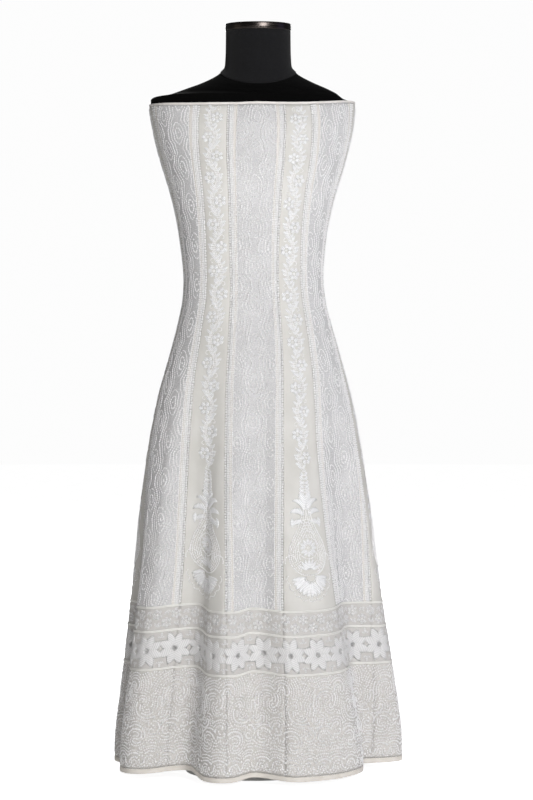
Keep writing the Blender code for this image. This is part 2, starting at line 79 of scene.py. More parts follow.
# Outline of the gown at each height, folds left out: half the width, how far the front and the
# back stand from the section's centre, where that centre lies, and how square the outline is.
GOWN_SECTIONS = table(
    ("height", "half_width", "front", "back", "centre_x", "centre_y", "squareness"),
    (0.010, 0.2665, 0.220, 0.192, 0.0075, 0.004, 2.00),
    (0.054, 0.2655, 0.217, 0.189, 0.0075, 0.004, 2.00),
    (0.163, 0.2525, 0.205, 0.179, 0.0065, 0.003, 2.00),
    (0.272, 0.2375, 0.191, 0.169, 0.0040, 0.002, 2.00),
    (0.381, 0.2235, 0.176, 0.160, 0.0030, 0.002, 2.00),
    (0.490, 0.2105, 0.162, 0.151, 0.0015, 0.001, 2.00),
    (0.581, 0.1970, 0.149, 0.143, 0.0010, 0.001, 2.00),
    (0.672, 0.1790, 0.134, 0.134, 0.0010, 0.001, 2.05),
    (0.763, 0.1530, 0.115, 0.120, 0.0010, 0.000, 2.15),
    (0.8175, 0.1375, 0.101, 0.106, 0.0000, 0.000, 2.30),
    (0.854, 0.1295, 0.094, 0.097, -0.0010, 0.000, 2.35),
    (0.890, 0.1265, 0.091, 0.092, -0.0020, 0.000, 2.40),
    (0.963, 0.1330, 0.100, 0.088, -0.0035, 0.001, 2.35),
    (1.0356, 0.1480, 0.115, 0.088, -0.0030, 0.004, 2.30),
    (1.108, 0.1700, 0.131, 0.093, -0.0025, 0.007, 2.35),
    (1.163, 0.1840, 0.126, 0.094, -0.0015, 0.010, 2.35),
    (1.199, 0.1900, 0.114, 0.091, -0.0010, 0.012, 2.30),
    (1.2156, 0.1905, 0.107, 0.088, -0.0010, 0.012, 2.30),
)

# How far the form's skin lies inside the gown's outer face, wall and ease together.
FORM_INSETS = table(
    ("height", "inset"),
    (0.690, 0.0210), (0.725, 0.0145), (0.763, 0.0095), (0.800, 0.0064), (0.840, 0.0046),
    (0.890, 0.0030), (1.036, 0.0030), (1.108, 0.0038), (1.175, 0.0036), (1.2156, 0.0026),
)

# The form above the gown, from the shoulder's edge to the seam at the neck's foot.
SHOULDER_SECTIONS = table(
    ("height", "half_width", "front", "back", "centre", "squareness", "front_dip"),
    (1.2160, 0.1870, 0.105, 0.086, 0.012, 2.30, 0.000),
    (1.2210, 0.1680, 0.102, 0.083, 0.010, 2.30, 0.003),
    (1.2322, 0.1446, 0.090, 0.084, -0.005, 2.20, 0.009),
    (1.2415, 0.1257, 0.080, 0.080, -0.015, 2.10, 0.015),
    (1.2512, 0.1058, 0.073, 0.075, -0.022, 2.00, 0.022),
    (1.2635, 0.0850, 0.069, 0.070, -0.025, 2.00, 0.031),
    (1.2725, 0.0730, 0.067, 0.066, -0.025, 2.00, 0.038),
    (1.2776, 0.0685, 0.0655, 0.064, -0.025, 2.00, 0.0426),
)

# The neck above that seam, which it starts on: round, tilted a little forward at its top.
NECK_SECTIONS = table(
    ("height", "radius", "front_dip", "tilt"),
    (1.2850, 0.0612, 0.034, 0.000),
    (1.2960, 0.0594, 0.018, 0.001),
    (1.3100, 0.0588, 0.006, 0.002),
    (1.3385, 0.0585, 0.000, 0.004),
)
SHOULDERS_TURNED = (1.2160, 1.2322)  # between these heights the form turns to the viewed side
NECK_CENTRE = -0.025
NECK_GROOVE = 0.040  # share of its radius that the seam at the neck's foot is drawn in by
NECK_RING_HEIGHT = 0.0125
NECK_RING_PROUD = 0.0008
NECK_RING_WALL = 0.0040
NECK_CAP_SUNK = 0.0015

# Folds of the skirt: azimuth at the hem and where the fold dies out, the angle it takes before
# and after its trough, how deep it is pressed in at the hem, how much its two ridges close over
# it, how far its foot is pulled sideways, and the height where it dies out.
SKIRT_FOLDS = table(
    ("azimuth", "azimuth_above", "before", "after", "depth", "pinch", "lean", "dies_out"),
    (-92.0, -88.0, 11.0, 11.0, 0.026, 0.006, 0.000, 0.60),
    (-60.5, -52.0, 17.0, 31.0, 0.066, 0.003, 0.000, 0.84),
    (-15.0, -13.0, 18.0, 19.0, 0.036, 0.000, 0.000, 0.84),
    (66.0, 47.0, 36.0, 14.0, 0.065, 0.004, 0.000, 0.72),
    (100.0, 96.0, 14.0, 14.0, 0.034, 0.008, 0.000, 0.66),
    (128.0, 124.0, 14.0, 14.0, 0.044, 0.010, 0.004, 0.76),
    (157.0, 155.0, 15.0, 13.0, 0.036, 0.008, 0.000, 0.84),
    (-176.0, -172.0, 13.0, 14.0, 0.042, 0.010, -0.004, 0.82),
    (-149.0, -148.0, 13.0, 13.0, 0.038, 0.009, 0.000, 0.78),
    (-123.0, -122.0, 13.0, 14.0, 0.042, 0.010, 0.004, 0.70),
)
FOLD_GROWTH = 1.3
PINCH_REACH = 1.3

# How far the hem is hitched up above its lowest stretch, by azimuth.
HEM_LIFTS = table(
    ("azimuth", "lift"),
    (-180.0, 0.003), (-130.0, 0.006), (-104.0, 0.009), (-90.0, 0.006), (-80.0, 0.002),
    (-72.0, 0.003), (-64.0, 0.008), (-54.0, 0.010), (-46.0, 0.005), (-38.0, 0.000),
    (-27.0, 0.000), (-18.0, 0.0055), (-8.0, 0.003), (4.0, 0.000), (22.0, 0.001),
    (36.0, 0.005), (50.0, 0.006), (74.0, 0.004), (120.0, 0.005), (180.0, 0.003),
)
LIFT_FULL_BELOW = 0.36
LIFT_NONE_ABOVE = 0.80

# How far the top edge dips, by azimuth: as seen it runs straight across from side to side.
TOP_DIPS = table(
    ("azimuth", "dip"),
    (-180.0, 0.0000), (-150.0, 0.0010), (-126.0, 0.0040), (-105.0, 0.0090), (-76.0, 0.0160),
    (-52.0, 0.0192), (-30.0, 0.0186), (-10.0, 0.0162), (10.0, 0.0156), (25.0, 0.0144),
    (45.0, 0.0104), (75.0, 0.0010), (90.0, 0.0000), (180.0, 0.0000),
)
TOP_DIP_ENDS = 1.06
FRONT_DIP_FALL = 1.5  # power of the cosine by which the form's own rings dip at the front

# How the twelve kalis share a row: the azimuth of the front kali's middle, the part of a pair
# that the close-worked kali takes, and how much wider than the side pairs the front and back are.
PAIR_SHARES = table(
    ("height", "front_azimuth", "close_worked", "front_gain"),
    (0.010, -16.8, 0.430, -0.080),
    (0.310, -16.8, 0.500, -0.080),
    (0.600, -16.0, 0.590, -0.010),
    (0.890, -13.3, 0.630, 0.150),
    (1.100, -11.8, 0.655, 0.020),
    (1.2156, -10.8, 0.667, -0.050),
)
TAPES_FROM_TOP = (0.3040, 0.2615, 0.1950)

# Soft creases that the cloth takes between its folds: azimuth, the heights where one starts and
# ends, how far its top leans sideways in degrees, its half width in degrees and its depth, where
# a depth below zero is a ridge. Above the hips the form lets a trough go no deeper than 1.5 mm.
SOFT_CREASES = table(
    ("azimuth", "top", "foot", "lean", "half_width", "depth"),
    (-29.0, 0.800, 0.520, 3.0, 3.4, 0.0018),
    (-20.0, 0.770, 0.330, -2.0, 2.8, 0.0022),
    (-8.0, 0.700, 0.240, 2.0, 3.0, 0.0018),
    (1.0, 0.760, 0.430, -3.0, 3.2, -0.0016),
    (12.0, 0.640, 0.120, 2.0, 3.6, 0.0020),
    (24.0, 0.745, 0.380, -4.0, 3.0, 0.0017),
    (33.0, 0.560, 0.060, -2.0, 2.6, -0.0020),
    (-41.0, 0.620, 0.100, 3.0, 3.2, -0.0022),
    (-49.0, 0.720, 0.280, 4.0, 2.6, 0.0019),
    (-75.0, 0.690, 0.180, 2.0, 3.4, 0.0024),
    (-104.0, 0.660, 0.090, -2.0, 3.0, 0.0026),
    (-112.0, 0.780, 0.410, 3.0, 3.4, 0.0018),
    (-136.0, 0.700, 0.070, 2.0, 2.8, 0.0024),
    (-162.0, 0.760, 0.300, -3.0, 3.2, 0.0022),
    (172.0, 0.640, 0.110, 2.0, 2.6, -0.0020),
    (143.0, 0.720, 0.220, -2.0, 3.0, 0.0024),
    (114.0, 0.680, 0.080, 3.0, 3.2, 0.0020),
    (84.0, 0.620, 0.160, -3.0, 3.2, 0.0022),
    (57.0, 0.700, 0.350, -5.0, 2.8, 0.0016),
    (-46.0, 0.955, 0.840, 9.0, 3.6, 0.0009),
    (-24.0, 0.930, 0.850, -6.0, 3.2, 0.0007),
    (14.0, 0.960, 0.845, 7.0, 3.6, 0.0008),
    (38.0, 0.935, 0.855, -8.0, 3.4, 0.0009),
    (96.0, 0.965, 0.840, 6.0, 4.0, 0.0010),
    (-128.0, 0.950, 0.850, -7.0, 3.6, 0.0010),
    (150.0, 0.960, 0.830, 5.0, 3.8, 0.0009),
    (-172.0, 0.940, 0.850, -6.0, 3.4, 0.0008),
    (-64.0, 1.195, 1.090, 5.0, 3.4, 0.0010),
    (52.0, 1.190, 1.100, -6.0, 3.2, 0.0009),
    (110.0, 1.200, 1.080, 4.0, 3.6, 0.0010),
    (-118.0, 1.195, 1.095, -5.0, 3.4, 0.0009),
)
SEAM_SINK = 0.0012
SEAM_SINK_REACH = 0.0045
SINK_STARTS = (0.27, 0.33)  # the seams sink in between the border and the binding
SINK_ENDS = (1.19, 1.21)


def curve_through(places, values, at):
    """Cubic through (places, values) that never overshoots them, read at the given places."""
    step = np.diff(places)
    rise = np.diff(values) / step
    both = rise[:-1] * rise[1:]
    total = rise[:-1] + rise[1:]
    slope = np.empty(len(values))
    slope[0], slope[-1] = rise[0], rise[-1]
    slope[1:-1] = np.where(both > 0, 2 * both / np.where(both > 0, total, 1.0), 0.0)
    at = np.clip(at, places[0], places[-1])
    k = np.clip(np.searchsorted(places, at, side="right") - 1, 0, len(step) - 1)
    s = (at - places[k]) / step[k]
    start, end = values[k], values[k + 1]
    return (
        start * (1 + 2 * s) * (1 - s) ** 2
        + end * s * s * (3 - 2 * s)
        + slope[k] * step[k] * s * (1 - s) ** 2
        - slope[k + 1] * step[k] * s * s * (1 - s)
    )


def read(rows, column, height):
    """One column of a table, smoothly between its rows."""
    return curve_through(rows["height"], rows[column], height)


def read_all(rows, height):
    """Every column of a table, smoothly between its rows."""
    return {name: read(rows, name, height) for name in rows}


def rows_of(columns):
    """The rows of a table, each as one number for each named column."""
    return [dict(zip(columns, values)) for values in zip(*columns.values())]


def together(*columns):
    """Columns of numbers side by side, where a single number stands for a whole column."""
    return np.stack(np.broadcast_arrays(*columns), axis=-1)


def ease(value, low, high):
    """0 below low, 1 above high, and smooth between."""
    s = np.clip((value - low) / (high - low), 0.0, 1.0)
    return s * s * (3 - 2 * s)


def unit(vectors):
    """Vectors at length one."""
    return vectors / np.maximum(np.linalg.norm(vectors, axis=-1, keepdims=True), 1e-12)


def outward(azimuth):
    """Unit vector away from the axis, in plan."""
    return together(np.sin(azimuth), -np.cos(azimuth))


def sideways(azimuth):
    """Unit vector along the section, in plan."""
    return together(np.cos(azimuth), np.sin(azimuth))


def oval_radius(azimuth, half_width, front, back, squareness):
    """Distance from the section's centre to a squared oval with its own front and back."""
    depth = np.where(np.cos(azimuth) > 0, front, back)
    across = (np.abs(np.sin(azimuth)) / half_width) ** squareness
    along = (np.abs(np.cos(azimuth)) / depth) ** squareness
    return (across + along) ** (-1 / squareness)


def turn_between(azimuth, middle):
    """Signed angle in degrees from middle to azimuth, the short way round."""
    return (np.degrees(azimuth) - middle + 180) % 360 - 180


def fold_offsets(azimuth, height):
    """How far the folds press the cloth in, and push it sideways, at each azimuth and height."""
    pressed = np.zeros(np.broadcast(azimuth, height).shape)
    pushed = np.zeros_like(pressed)
    for fold in rows_of(SKIRT_FOLDS):
        hanging = np.clip((fold["dies_out"] - height) / (fold["dies_out"] - HEM_EDGE), 0, 1)
        strength = np.sin(0.5 * math.pi * hanging) ** FOLD_GROWTH
        middle = fold["azimuth"] + (fold["azimuth_above"] - fold["azimuth"]) * (1 - hanging)
        turn = turn_between(azimuth, middle)
        across = np.clip(turn / np.where(turn < 0, fold["before"], fold["after"]), -1, 1)
        trough = 0.5 + 0.5 * np.cos(math.pi * across)
        closing = -PINCH_REACH * fold["pinch"] * np.sin(math.pi * across) * (1 - trough)
        pressed += fold["depth"] * strength * trough
        pushed += strength * (closing + fold["lean"] * trough)
    return pressed, pushed


def row_height(azimuth, row):
    """Height of a point on the cloth's row: rows are level but for the hitched hem and top dip."""
    lift = curve_through(HEM_LIFTS["azimuth"], HEM_LIFTS["lift"], turn_between(azimuth, 0.0))
    lift = lift * (1 - ease(row, LIFT_FULL_BELOW, LIFT_NONE_ABOVE))
    dip = curve_through(TOP_DIPS["azimuth"], TOP_DIPS["dip"], turn_between(azimuth, 0.0))
    return row + lift - dip * ease(row, TOP_DIP_ENDS, TOP_EDGE)


def gown_surface(azimuth, row):
    """Points of the gown's outer face: squared ovals, less what the folds press in."""
    height = row_height(azimuth, row)
    sizes = read_all(GOWN_SECTIONS, height)
    radius = oval_radius(
        azimuth, sizes["half_width"], sizes["front"], sizes["back"], sizes["squareness"]
    )
    pressed, pushed = fold_offsets(azimuth, height)
    plan = (radius - pressed)[..., None] * outward(azimuth)
    plan = plan + pushed[..., None] * sideways(azimuth)
    return together(plan[..., 0] + sizes["centre_x"], plan[..., 1] + sizes["centre_y"], height)


def seam_shares(row):
    """Shares of the way round the row where each kali starts, and the last one ends."""
    close_worked = read(PAIR_SHARES, "close_worked", row) / KALI_PAIRS
    starts = np.arange(KALI_PAIRS + 1) / KALI_PAIRS - close_worked / 2
    shares = np.sort(np.concatenate([starts, starts[:-1] + close_worked]))
    gain = read(PAIR_SHARES, "front_gain", row)
    return shares + gain * np.sin(4 * math.pi * shares) / (4 * math.pi)


def azimuths_at(row, shares):
    """Azimuths at the given shares of the row's length from the front kali's middle, and that
    length."""
    start = math.radians(float(read(PAIR_SHARES, "front_azimuth", row)))
    azimuth = start + np.linspace(0, 2 * math.pi, SECTION_SAMPLES + 1)
    points = gown_surface(azimuth, np.full_like(azimuth, row))
    length = np.concatenate([[0], np.cumsum(np.linalg.norm(np.diff(points, axis=0), axis=1))])
    shares = np.asarray(shares)
    turns = np.floor(shares)
    found = np.interp((shares - turns) * length[-1], length, azimuth)
    return found + turns * 2 * math.pi, length[-1]


def round_normals(points):
    """Outward normals of a grid closed all round: its step along a row crossed with its step up."""
    ring = points[:, :-1]
    along = np.roll(ring, -1, axis=1) - np.roll(ring, 1, axis=1)
    normals = unit(np.cross(along, -np.gradient(ring, axis=0)))
    return np.concatenate([normals, normals[:, :1]], axis=1)


def crease_depth(azimuth, height):
    """How far the soft creases press in: each a bell across, rising and dying along its length."""
    depth = np.zeros(azimuth.shape)
    for crease in rows_of(SOFT_CREASES):
        along = np.clip((height - crease["foot"]) / (crease["top"] - crease["foot"]), 0, 1)
        middle = crease["azimuth"] + crease["lean"] * (along - 0.5)
        across = turn_between(azimuth, middle) / crease["half_width"]
        depth += crease["depth"] * np.sin(math.pi * along) ** 0.8 * np.exp(-across * across)
    return depth


class Cloth:
    """The gown's outer face as one grid of points: rows from the top edge down, columns round."""

    def __init__(self):
        self.rows = np.linspace(TOP_EDGE, PANEL_FOOT, PANEL_ROWS)
        self.step = self.rows[0] - self.rows[1]
        counts = [CLOSE_WORKED_COLUMNS, VINE_COLUMNS] * KALI_PAIRS
        self.firsts = np.concatenate([[0], np.cumsum(counts)])
        places = np.arange(self.firsts[-1] + 1)
        azimuth, seams, lengths = [], [], []
        for row in self.rows:
            starts = seam_shares(row)
            found, length = azimuths_at(row, np.interp(places, self.firsts, starts))
            azimuth.append(found)
            seams.append(starts)
            lengths.append(length)
        self.azimuth = np.array(azimuth)
        self.seams, self.lengths = np.array(seams), np.array(lengths)
        self.widths = np.diff(self.seams) * self.lengths[:, None]
        kali = np.clip(np.searchsorted(self.firsts, places, side="right") - 1, 0, len(counts) - 1)
        share = (places - self.firsts[kali]) / np.array(counts)[kali]
        self.from_seam = np.minimum(share, 1 - share) * self.widths[:, kali]
        level = self.rows[:, None] * np.ones(len(places))
        smooth = gown_surface(self.azimuth, level)
        sunk = SEAM_SINK * np.exp(-((self.from_seam / SEAM_SINK_REACH) ** 2))
        sunk = sunk * ease(level, *SINK_STARTS) * (1 - ease(level, *SINK_ENDS))
        pressed = crease_depth(self.azimuth, smooth[..., 2]) + sunk
        self.points = smooth - pressed[..., None] * round_normals(smooth)
        self.normals = round_normals(self.points)

    def at(self, column, row, lift):
        """Points at a lift above the face, read between the grid's four nearest points."""
        across = np.mod(column, self.firsts[-1])
        c = np.floor(across).astype(int)
        s = (across - c)[..., None]
        down = np.clip((TOP_EDGE - row) / self.step, 0, len(self.rows) - 1.001)
        r = np.floor(down).astype(int)
        t = (down - r)[..., None]

        def between(grid):
            above = grid[r, c] * (1 - s) + grid[r, c + 1] * s
            below = grid[r + 1, c] * (1 - s) + grid[r + 1, c + 1] * s
            return above * (1 - t) + below * t

        return between(self.points) + lift[..., None] * between(self.normals)

    def width(self, kali, row):
        """Width of a kali along the cloth at a row."""
        return np.interp(-np.asarray(row), -self.rows, self.widths[:, kali])

    def on_kali(self, kali):
        """Turns metres across from a kali's middle, and a row, into a column and that row."""
        first, count = self.firsts[kali], self.firsts[kali + 1] - self.firsts[kali]

        def place(x, y):
            share = np.clip(0.5 + x / self.width(kali, y), -0.02, 1.02)
            return first + count * share, y

        return place

    def on_seam(self, seam):
        """Turns metres across from a join between two kalis, and a row, into a column and row."""
        before = (seam - 1) % (len(self.firsts) - 1)
        counts = np.diff(self.firsts)

        def place(x, y):
            left = counts[before] / self.width(before, y)
            right = counts[seam] / self.width(seam, y)
            return self.firsts[seam] + x * np.where(x < 0, left, right), y

        return place

    def all_round(self, level):
        """Turns metres along the row at one level, from the front kali's middle, into a column."""
        length = float(np.interp(-level, -self.rows, self.lengths))

        def place(x, y):
            starts = [np.interp(-y, -self.rows, self.seams[:, k]) for k in range(len(self.firsts))]
            share = (x / length - starts[0]) % 1.0 + starts[0]
            column = np.zeros(np.shape(share))
            for k in range(len(self.firsts) - 1):
                part = np.clip((share - starts[k]) / (starts[k + 1] - starts[k]), 0, 1)
                column = column + part * (self.firsts[k + 1] - self.firsts[k])
            return column, y

        return place, length


# Materials

WEAVE_THREAD = 0.0012  # real georgette has about 0.35 mm, too fine to show, so it is drawn coarser
COURSE_HEIGHT = 0.0014  # the jersey's, drawn coarser too
WAVE_PER_SCALE = 0.1 * math.pi  # a wave texture's band in metres at a scale of one
FLOSS_WHITE = "#F5F4F4"
PAINTED_SEAM_SHADE = "#8F8A83"  # painted shade beside each seam and along the panels' foot above the hem band
SEAM_SHADE_REACH = (0.0012, 0.0034)
FOOT_SHADE_REACH = (0.0008, 0.0022)
BORDER_GROUND_TOP = 0.3020  # where the border's ground takes over from the panels'
DEEP_GROUND_TOP = 0.1920  # and where the deep border's takes over from that
GROUND_BLEND = 0.0005
PAPER_GLOW = 0.98  # how bright the paper looks of itself
PAPER_SPILL = 0.20  # and how much of that falls on the gown


def linear(hex_colour):
    """An sRGB hex colour as linear red, green, blue and one."""
    parts = [int(hex_colour[k:k + 2], 16) / 255 for k in (1, 3, 5)]
    return (*((c / 12.92 if c <= 0.04045 else ((c + 0.055) / 1.055) ** 2.4) for c in parts), 1.0)


def first_output(node):
    """The first of a node's outputs that is in use."""
    return next(output for output in node.outputs if output.enabled)


def add(tree, kind, inputs=None, stops=None, **settings):
    """Adds a node with its settings. An input is a plain value, or a socket or a node to link from.
    stops are the places and hex colours of a colour ramp."""
    node = tree.nodes.new(kind)
    for name, value in settings.items():
        setattr(node, name, value)
    for name, value in (inputs or {}).items():
        if isinstance(value, bpy.types.Node):
            value = first_output(value)
        if isinstance(value, bpy.types.NodeSocket):
            tree.links.new(value, node.inputs[name])
        else:
            node.inputs[name].default_value = value
    for number, (position, colour) in enumerate(stops or ()):
        elements = node.color_ramp.elements
        element = elements[number] if number < 2 else elements.new(position)
        element.position, element.color = position, linear(colour)
    return node


def material_with(name, **values):
    """A new material with one shader, whose plain values are set on its own sockets."""
    material = bpy.data.materials.new(name)
    material.use_nodes = True
    tree = material.node_tree
    tree.nodes.clear()
    named = {socket.replace("_", " "): value for socket, value in values.items()}
    shader = add(tree, "ShaderNodeBsdfPrincipled", named)
    add(tree, "ShaderNodeOutputMaterial", {"Surface": shader})
    return material, tree, shader


def link_to(tree, shader, **sources):
    """Links nodes to a shader's sockets."""
    for socket, source in sources.items():
        tree.links.new(first_output(source), shader.inputs[socket.replace("_", " ")])


def on_cloth(tree):
    """Place on the cloth, in metres."""
    return add(tree, "ShaderNodeUVMap", uv_map="cloth")


def on_object(tree):
    """Place in the part's frame, in metres."""
    return add(tree, "ShaderNodeTexCoord").outputs["Object"]


def number_named(tree, name):
    """A mesh's own number of that name."""
    return add(tree, "ShaderNodeAttribute", attribute_name=name).outputs["Fac"]


def noise(tree, place, scale, detail):
    """Cloudy noise."""
    return add(tree, "ShaderNodeTexNoise", {"Vector": place, "Scale": scale, "Detail": detail})


def ramp(tree, value, *stops):
    """Colours at places along a value."""
    return add(tree, "ShaderNodeValToRGB", {0: value}, stops)


def remap(tree, value, low, high, at_low=0.0, at_high=1.0, **settings):
    """A value stretched so that low becomes at_low and high becomes at_high, and kept between."""
    inputs = {0: value, 1: low, 2: high, 3: at_low, 4: at_high}
    return add(tree, "ShaderNodeMapRange", inputs, **settings)


def across_line(tree, height, line, below, above):
    """One number below a height and another above it."""
    return remap(tree, height, line - GROUND_BLEND, line + GROUND_BLEND, below, above)


def blend(tree, share, first, second):
    """The first colour where the share is 0 and the second where it is 1."""
    return add(tree, "ShaderNodeMix", {0: share, 6: first, 7: second}, data_type="RGBA")


def worked_out(tree, operation, *numbers):
    """A sum on one or two numbers."""
    return add(tree, "ShaderNodeMath", dict(enumerate(numbers)), operation=operation)


def bump(tree, height, distance, strength, **under):
    """Relief from a height, over an earlier relief if there is one."""
    inputs = {"Height": height, "Distance": distance, "Strength": strength, **under}
    return add(tree, "ShaderNodeBump", inputs)


def wave(tree, place, thread, direction, distortion, detail, detail_scale=1.0):
    """Bands a thread wide across one direction, each a little wavy."""
    inputs = {
        "Vector": place, "Scale": WAVE_PER_SCALE / thread, "Distortion": distortion,
        "Detail": detail, "Detail Scale": detail_scale,
    }
    bands = add(tree, "ShaderNodeTexWave", inputs, wave_type="BANDS", bands_direction=direction)
    return bands.outputs["Fac"]


def woven(tree, place):
    """Height of a plain weave: warp and weft waves a thread apart, the higher one on top."""
    warp, weft = (wave(tree, place, WEAVE_THREAD, direction, 1.2, 2.0) for direction in "XY")
    return worked_out(tree, "MAXIMUM", warp, weft)


def georgette(name, light, shade):
    """Crepe georgette, plain woven from high-twist yarn: matt, with a dry, pebbled face.

    The crepe yarns scatter the light evenly, so it has no sheen line. Painted shade darkens it
    beside the seams and along its foot above the hem band, and it is greyer in the border. Where
    needlework covers it, white back stitches stand close together in it and make it paler and
    granular.
    """
    material, tree, shader = material_with(
        name, Roughness=0.86, IOR=1.46, Sheen_Weight=0.12, Sheen_Roughness=0.5
    )
    place = on_cloth(tree)
    axes = add(tree, "ShaderNodeSeparateXYZ", {0: place}).outputs
    height = axes["Y"]
    band = number_named(tree, "band_place")
    clouds = noise(tree, place, 15.0, 4.0)
    panel = ramp(tree, clouds, (0.32, shade), (0.68, light))
    # The tan stop at 0.94 is a painted shade line beside the row of stitches along the net's edge.
    strip = ramp(
        tree, band, (0.000, "#D2D2D3"), (0.580, "#D2D1D0"), (0.660, "#D2CECA"),
        (0.880, "#D4D0CB"), (0.940, "#BFB7AF"), (0.990, light),
    )
    upper = blend(tree, remap(tree, band, 0.985, 1.0), strip, panel)
    border = ramp(tree, clouds, (0.30, "#BDBAB7"), (0.70, "#C7C4C1"))
    deep = ramp(tree, clouds, (0.30, "#B8B4B0"), (0.70, "#C4C0BC"))
    lower = blend(tree, across_line(tree, height, DEEP_GROUND_TOP, 1.0, 0.0), border, deep)
    in_border = across_line(tree, height, BORDER_GROUND_TOP, 1.0, 0.0)
    panels = blend(tree, in_border, upper, lower)

    # Painted shade: darker beside each seam above the border, and along the panels' foot above the
    # hem band.
    from_middle = worked_out(tree, "ABSOLUTE", axes["X"])
    from_seam = worked_out(tree, "SUBTRACT", number_named(tree, "half_width"), from_middle)
    by_seam = remap(
        tree, from_seam, *SEAM_SHADE_REACH, 0.45, 0.0, interpolation_type="SMOOTHSTEP"
    )
    above = across_line(tree, height, BORDER_GROUND_TOP, 0.0, 1.0)
    shaded = worked_out(tree, "MULTIPLY", by_seam, above)
    seamed = blend(tree, shaded, panels, linear(PAINTED_SEAM_SHADE))
    foot_reach = [PANEL_FOOT + reach for reach in FOOT_SHADE_REACH]
    painted_foot_shade = remap(tree, height, *foot_reach, 0.7, 0.0)
    ground = blend(tree, painted_foot_shade, seamed, linear(PAINTED_SEAM_SHADE))

    grains = noise(tree, place, 1 / 0.0022, 2.0)
    dots = remap(tree, grains, 0.42, 0.62, interpolation_type="SMOOTHSTEP")
    stitched = worked_out(tree, "MULTIPLY", dots, number_named(tree, "worked"))
    whitened = worked_out(tree, "MULTIPLY", stitched, 0.35)
    colour = blend(tree, whitened, ground, linear(FLOSS_WHITE))
    threads = bump(tree, woven(tree, place), 0.00012, 0.6)
    relief = bump(tree, stitched, 0.0003, 0.6, Normal=threads)
    link_to(tree, shader, Base_Color=colour, Normal=relief)
    return material


def cotton_floss(name, shade, colour, thread):
    """Mercerised cotton floss: bleached white and a little glossy, with its strands laid side by
    side across each petal, so that light catches on them in fine lines. Real strands are about
    0.5 mm wide, too fine to show, so they are drawn coarser."""
    material, tree, shader = material_with(
        name, Roughness=0.55, IOR=1.53, Sheen_Weight=0.25, Sheen_Roughness=0.4
    )
    strands = wave(tree, on_cloth(tree), thread, "Y", 0.8, 1.0)
    tone = ramp(tree, strands, (0.0, shade), (0.55, colour))
    link_to(tree, shader, Base_Color=tone, Normal=bump(tree, strands, 0.0002, 0.5))
    return material


def folded_georgette(name, light, shade):
    """Georgette folded on itself: twice as thick, so warmer and less sheer than the panels."""
    material, tree, shader = material_with(
        name, Roughness=0.84, IOR=1.46, Sheen_Weight=0.12, Sheen_Roughness=0.5
    )
    place = on_cloth(tree)
    tone = ramp(tree, noise(tree, place, 60.0, 3.0), (0.3, shade), (0.7, light))
    link_to(tree, shader, Base_Color=tone, Normal=bump(tree, woven(tree, place), 0.00015, 0.6))
    return material


def jersey(name, dark, light, sheen, shine):
    """Cotton and elastane single jersey, circular knitted and stretched over padding: matt, with
    fine courses and a soft bloom of lint at grazing angles."""
    material, tree, shader = material_with(
        name, Roughness=0.92, IOR=1.46, Sheen_Weight=sheen, Sheen_Roughness=0.6,
        Specular_IOR_Level=shine,
    )
    place = on_object(tree)
    courses = wave(tree, place, COURSE_HEIGHT, "Z", 3.0, 3.0, 6.0)
    mixed = worked_out(tree, "MULTIPLY", courses, noise(tree, place, 320.0, 4.0))
    tone = ramp(tree, mixed, (0.15, dark), (0.65, light))
    link_to(tree, shader, Base_Color=tone, Normal=bump(tree, mixed, 0.0002, 0.5))
    return material


def plated_steel(name):
    """Black nickel plated steel, buffed round the ring, which draws reflections out sideways. The
    light and dark streaks in its colour are painted reflections; its roughness and relief follow
    the buffing marks.
    """
    material, tree, shader = material_with(name, Metallic=1.0, Roughness=0.22, IOR=2.5)
    stretch = {"Vector": on_object(tree), "Scale": (18.0, 18.0, 900.0)}
    marks = noise(tree, add(tree, "ShaderNodeMapping", stretch), 1.0, 5.0)
    # painted reflections: light and dark streaks in the metal's colour
    tone = ramp(tree, marks, (0.3, "#3A3634"), (0.7, "#56504D"))
    rough = remap(tree, marks, 0.3, 0.7, 0.22, 0.34)
    relief = bump(tree, marks, 0.00004, 0.5)
    link_to(tree, shader, Base_Color=tone, Roughness=rough, Normal=relief)
    return material


def painted(name, dark, light, roughness, grain, relief_height):
    """A dry coat with the small lumps that powder or brushed paint cures to, and with dust
    and rubs that change how it shines."""
    material, tree, shader = material_with(name, Roughness=roughness, IOR=1.5)
    place = on_object(tree)
    dust = noise(tree, place, 14.0, 5.0)
    tone = ramp(tree, dust, (0.35, dark), (0.75, light))
    rough = remap(tree, dust, 0.3, 0.7, roughness - 0.06, roughness + 0.08)
    relief = bump(tree, noise(tree, place, 1 / grain, 4.0), relief_height, 0.7)
    link_to(tree, shader, Base_Color=tone, Roughness=rough, Normal=relief)
    return material


def studio_paper(name):
    """White studio paper that glows of itself, brighter to the camera than on the gown it lights,
    so that it stays white all over and shows only the softest shadow under the gown."""
    material, tree, shader = material_with(
        name, Roughness=0.95, IOR=1.45, Specular_IOR_Level=0.05
    )
    fibres = noise(tree, on_object(tree), 9.0, 5.0)
    tone = ramp(tree, fibres, (0.3, "#F6F6F6"), (0.7, "#FAFAFA"))
    seen = add(tree, "ShaderNodeLightPath").outputs["Is Camera Ray"]
    # the paper glows of itself: fully to the camera, and a little onto the gown as painted light
    glow = remap(tree, seen, 0.0, 1.0, PAPER_SPILL, PAPER_GLOW)
    link_to(tree, shader, Base_Color=tone, Emission_Color=tone, Emission_Strength=glow)
    return material


# Mesh making

